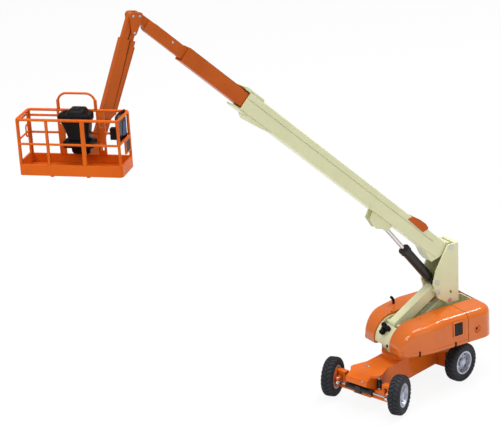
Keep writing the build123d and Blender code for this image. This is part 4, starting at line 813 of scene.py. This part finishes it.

# Boom: painted shade lines along the upper edges of the two sliding sections, where their top
# faces turn away into shadow
EDGE_SHADE_LINES = (
    # name, body, start, end, half width of the section, top of the section
    ("mid_edge_lines", "boom_mid", 234.0, 294.6, 4.7, -0.9),
    ("fly_edge_lines", "boom_fly", 296.0, 328.0, 3.3, -2.3),
)
LINE_INNER, LINE_OUTER, LINE_PROUD = 1.0, 0.4, 0.16
for name, body, start, end, half, top in EDGE_SHADE_LINES:
    shade_strips = Sculpt(BOOM)
    for way in (1, -1):
        y0, y1 = sorted((way * (half - LINE_INNER), way * (half - LINE_OUTER)))
        shade_strips.prism(rectangle(y0, top, y1, top + LINE_PROUD), start, end, "yz")
    shade_strips.done(name, body, "boom_paint", SHADE_LINE_PAINT)

# Floor: pale, and nearly white to the camera, with the shadow kept
WHITE = (1, 1, 1, 1)
FLOOR_COLOUR = (0.8, 0.8, 0.8, 1)
FLOOR_REACH = 8.0
FLOOR_WHITE_SHARE = 0.9
outline = rectangle(-FLOOR_REACH, -FLOOR_REACH, FLOOR_REACH, FLOOR_REACH)
floor_mesh = bpy.data.meshes.new("floor")
floor_mesh.from_pydata([(x, y, cad_box[0].z) for x, y in outline], [], [(0, 1, 2, 3)])
floor = bpy.data.objects.new("floor", floor_mesh)
scene.collection.objects.link(floor)
floor_white = bpy.data.materials.new("floor white")
n = Nodes(floor_white, "ShaderNodeOutputMaterial")
plain = n.add("ShaderNodeBsdfDiffuse", Color=FLOOR_COLOUR)
white = n.add("ShaderNodeEmission", Color=WHITE, Strength=1.0)
path = n.add("ShaderNodeLightPath")
share = n.add("ShaderNodeMath", operation="MULTIPLY")
share.inputs[1].default_value = FLOOR_WHITE_SHARE
blend = n.add("ShaderNodeMixShader")
n.link(path.outputs["Is Camera Ray"], share.inputs[0])
n.link(share.outputs[0], blend.inputs["Fac"])
n.link(plain.outputs["BSDF"], blend.inputs[1])
n.link(white.outputs["Emission"], blend.inputs[2])
n.link(blend.outputs["Shader"], n.output.inputs["Surface"])
floor_mesh.materials.append(floor_white)

# Backdrop: white to the camera, softer as a light
world = bpy.data.worlds.new("studio")
scene.world = world
n = Nodes(world, "ShaderNodeOutputWorld")
soft = n.add("ShaderNodeBackground", Color=WHITE, Strength=0.42)
bright = n.add("ShaderNodeBackground", Color=WHITE, Strength=1.0)
rays = n.add("ShaderNodeLightPath")
choose = n.add("ShaderNodeMixShader")
n.link(rays.outputs["Is Camera Ray"], choose.inputs["Fac"])
n.link(soft.outputs["Background"], choose.inputs[1])
n.link(bright.outputs["Background"], choose.inputs[2])
n.link(choose.outputs["Shader"], n.output.inputs["Surface"])

LAMPS = (
    # name, place, aim, size, power
    ("key", (1.6, 0.1, 1.4), (0, -0.02, 0.1), 0.8, 12.5),
    ("top", (0.1, 0.1, 1.9), (0, -0.05, 0.1), 1.2, 22.0),
    ("edge", (-0.8, 0.0, 1.4), (0, -0.05, 0.05), 0.4, 10.0),
    ("fill", (0.5, 1.7, 0.7), (0, -0.05, 0.1), 1.2, 3.0),
)
for name, place, aim, size, power in LAMPS:
    lamp = bpy.data.objects.new(name, bpy.data.lights.new(name, "AREA"))
    scene.collection.objects.link(lamp)
    lamp.data.shape = "DISK"
    lamp.data.size = size
    lamp.data.energy = power
    lamp.location = place
    lamp.rotation_euler = (Vector(aim) - Vector(place)).to_track_quat("-Z", "Y").to_euler()
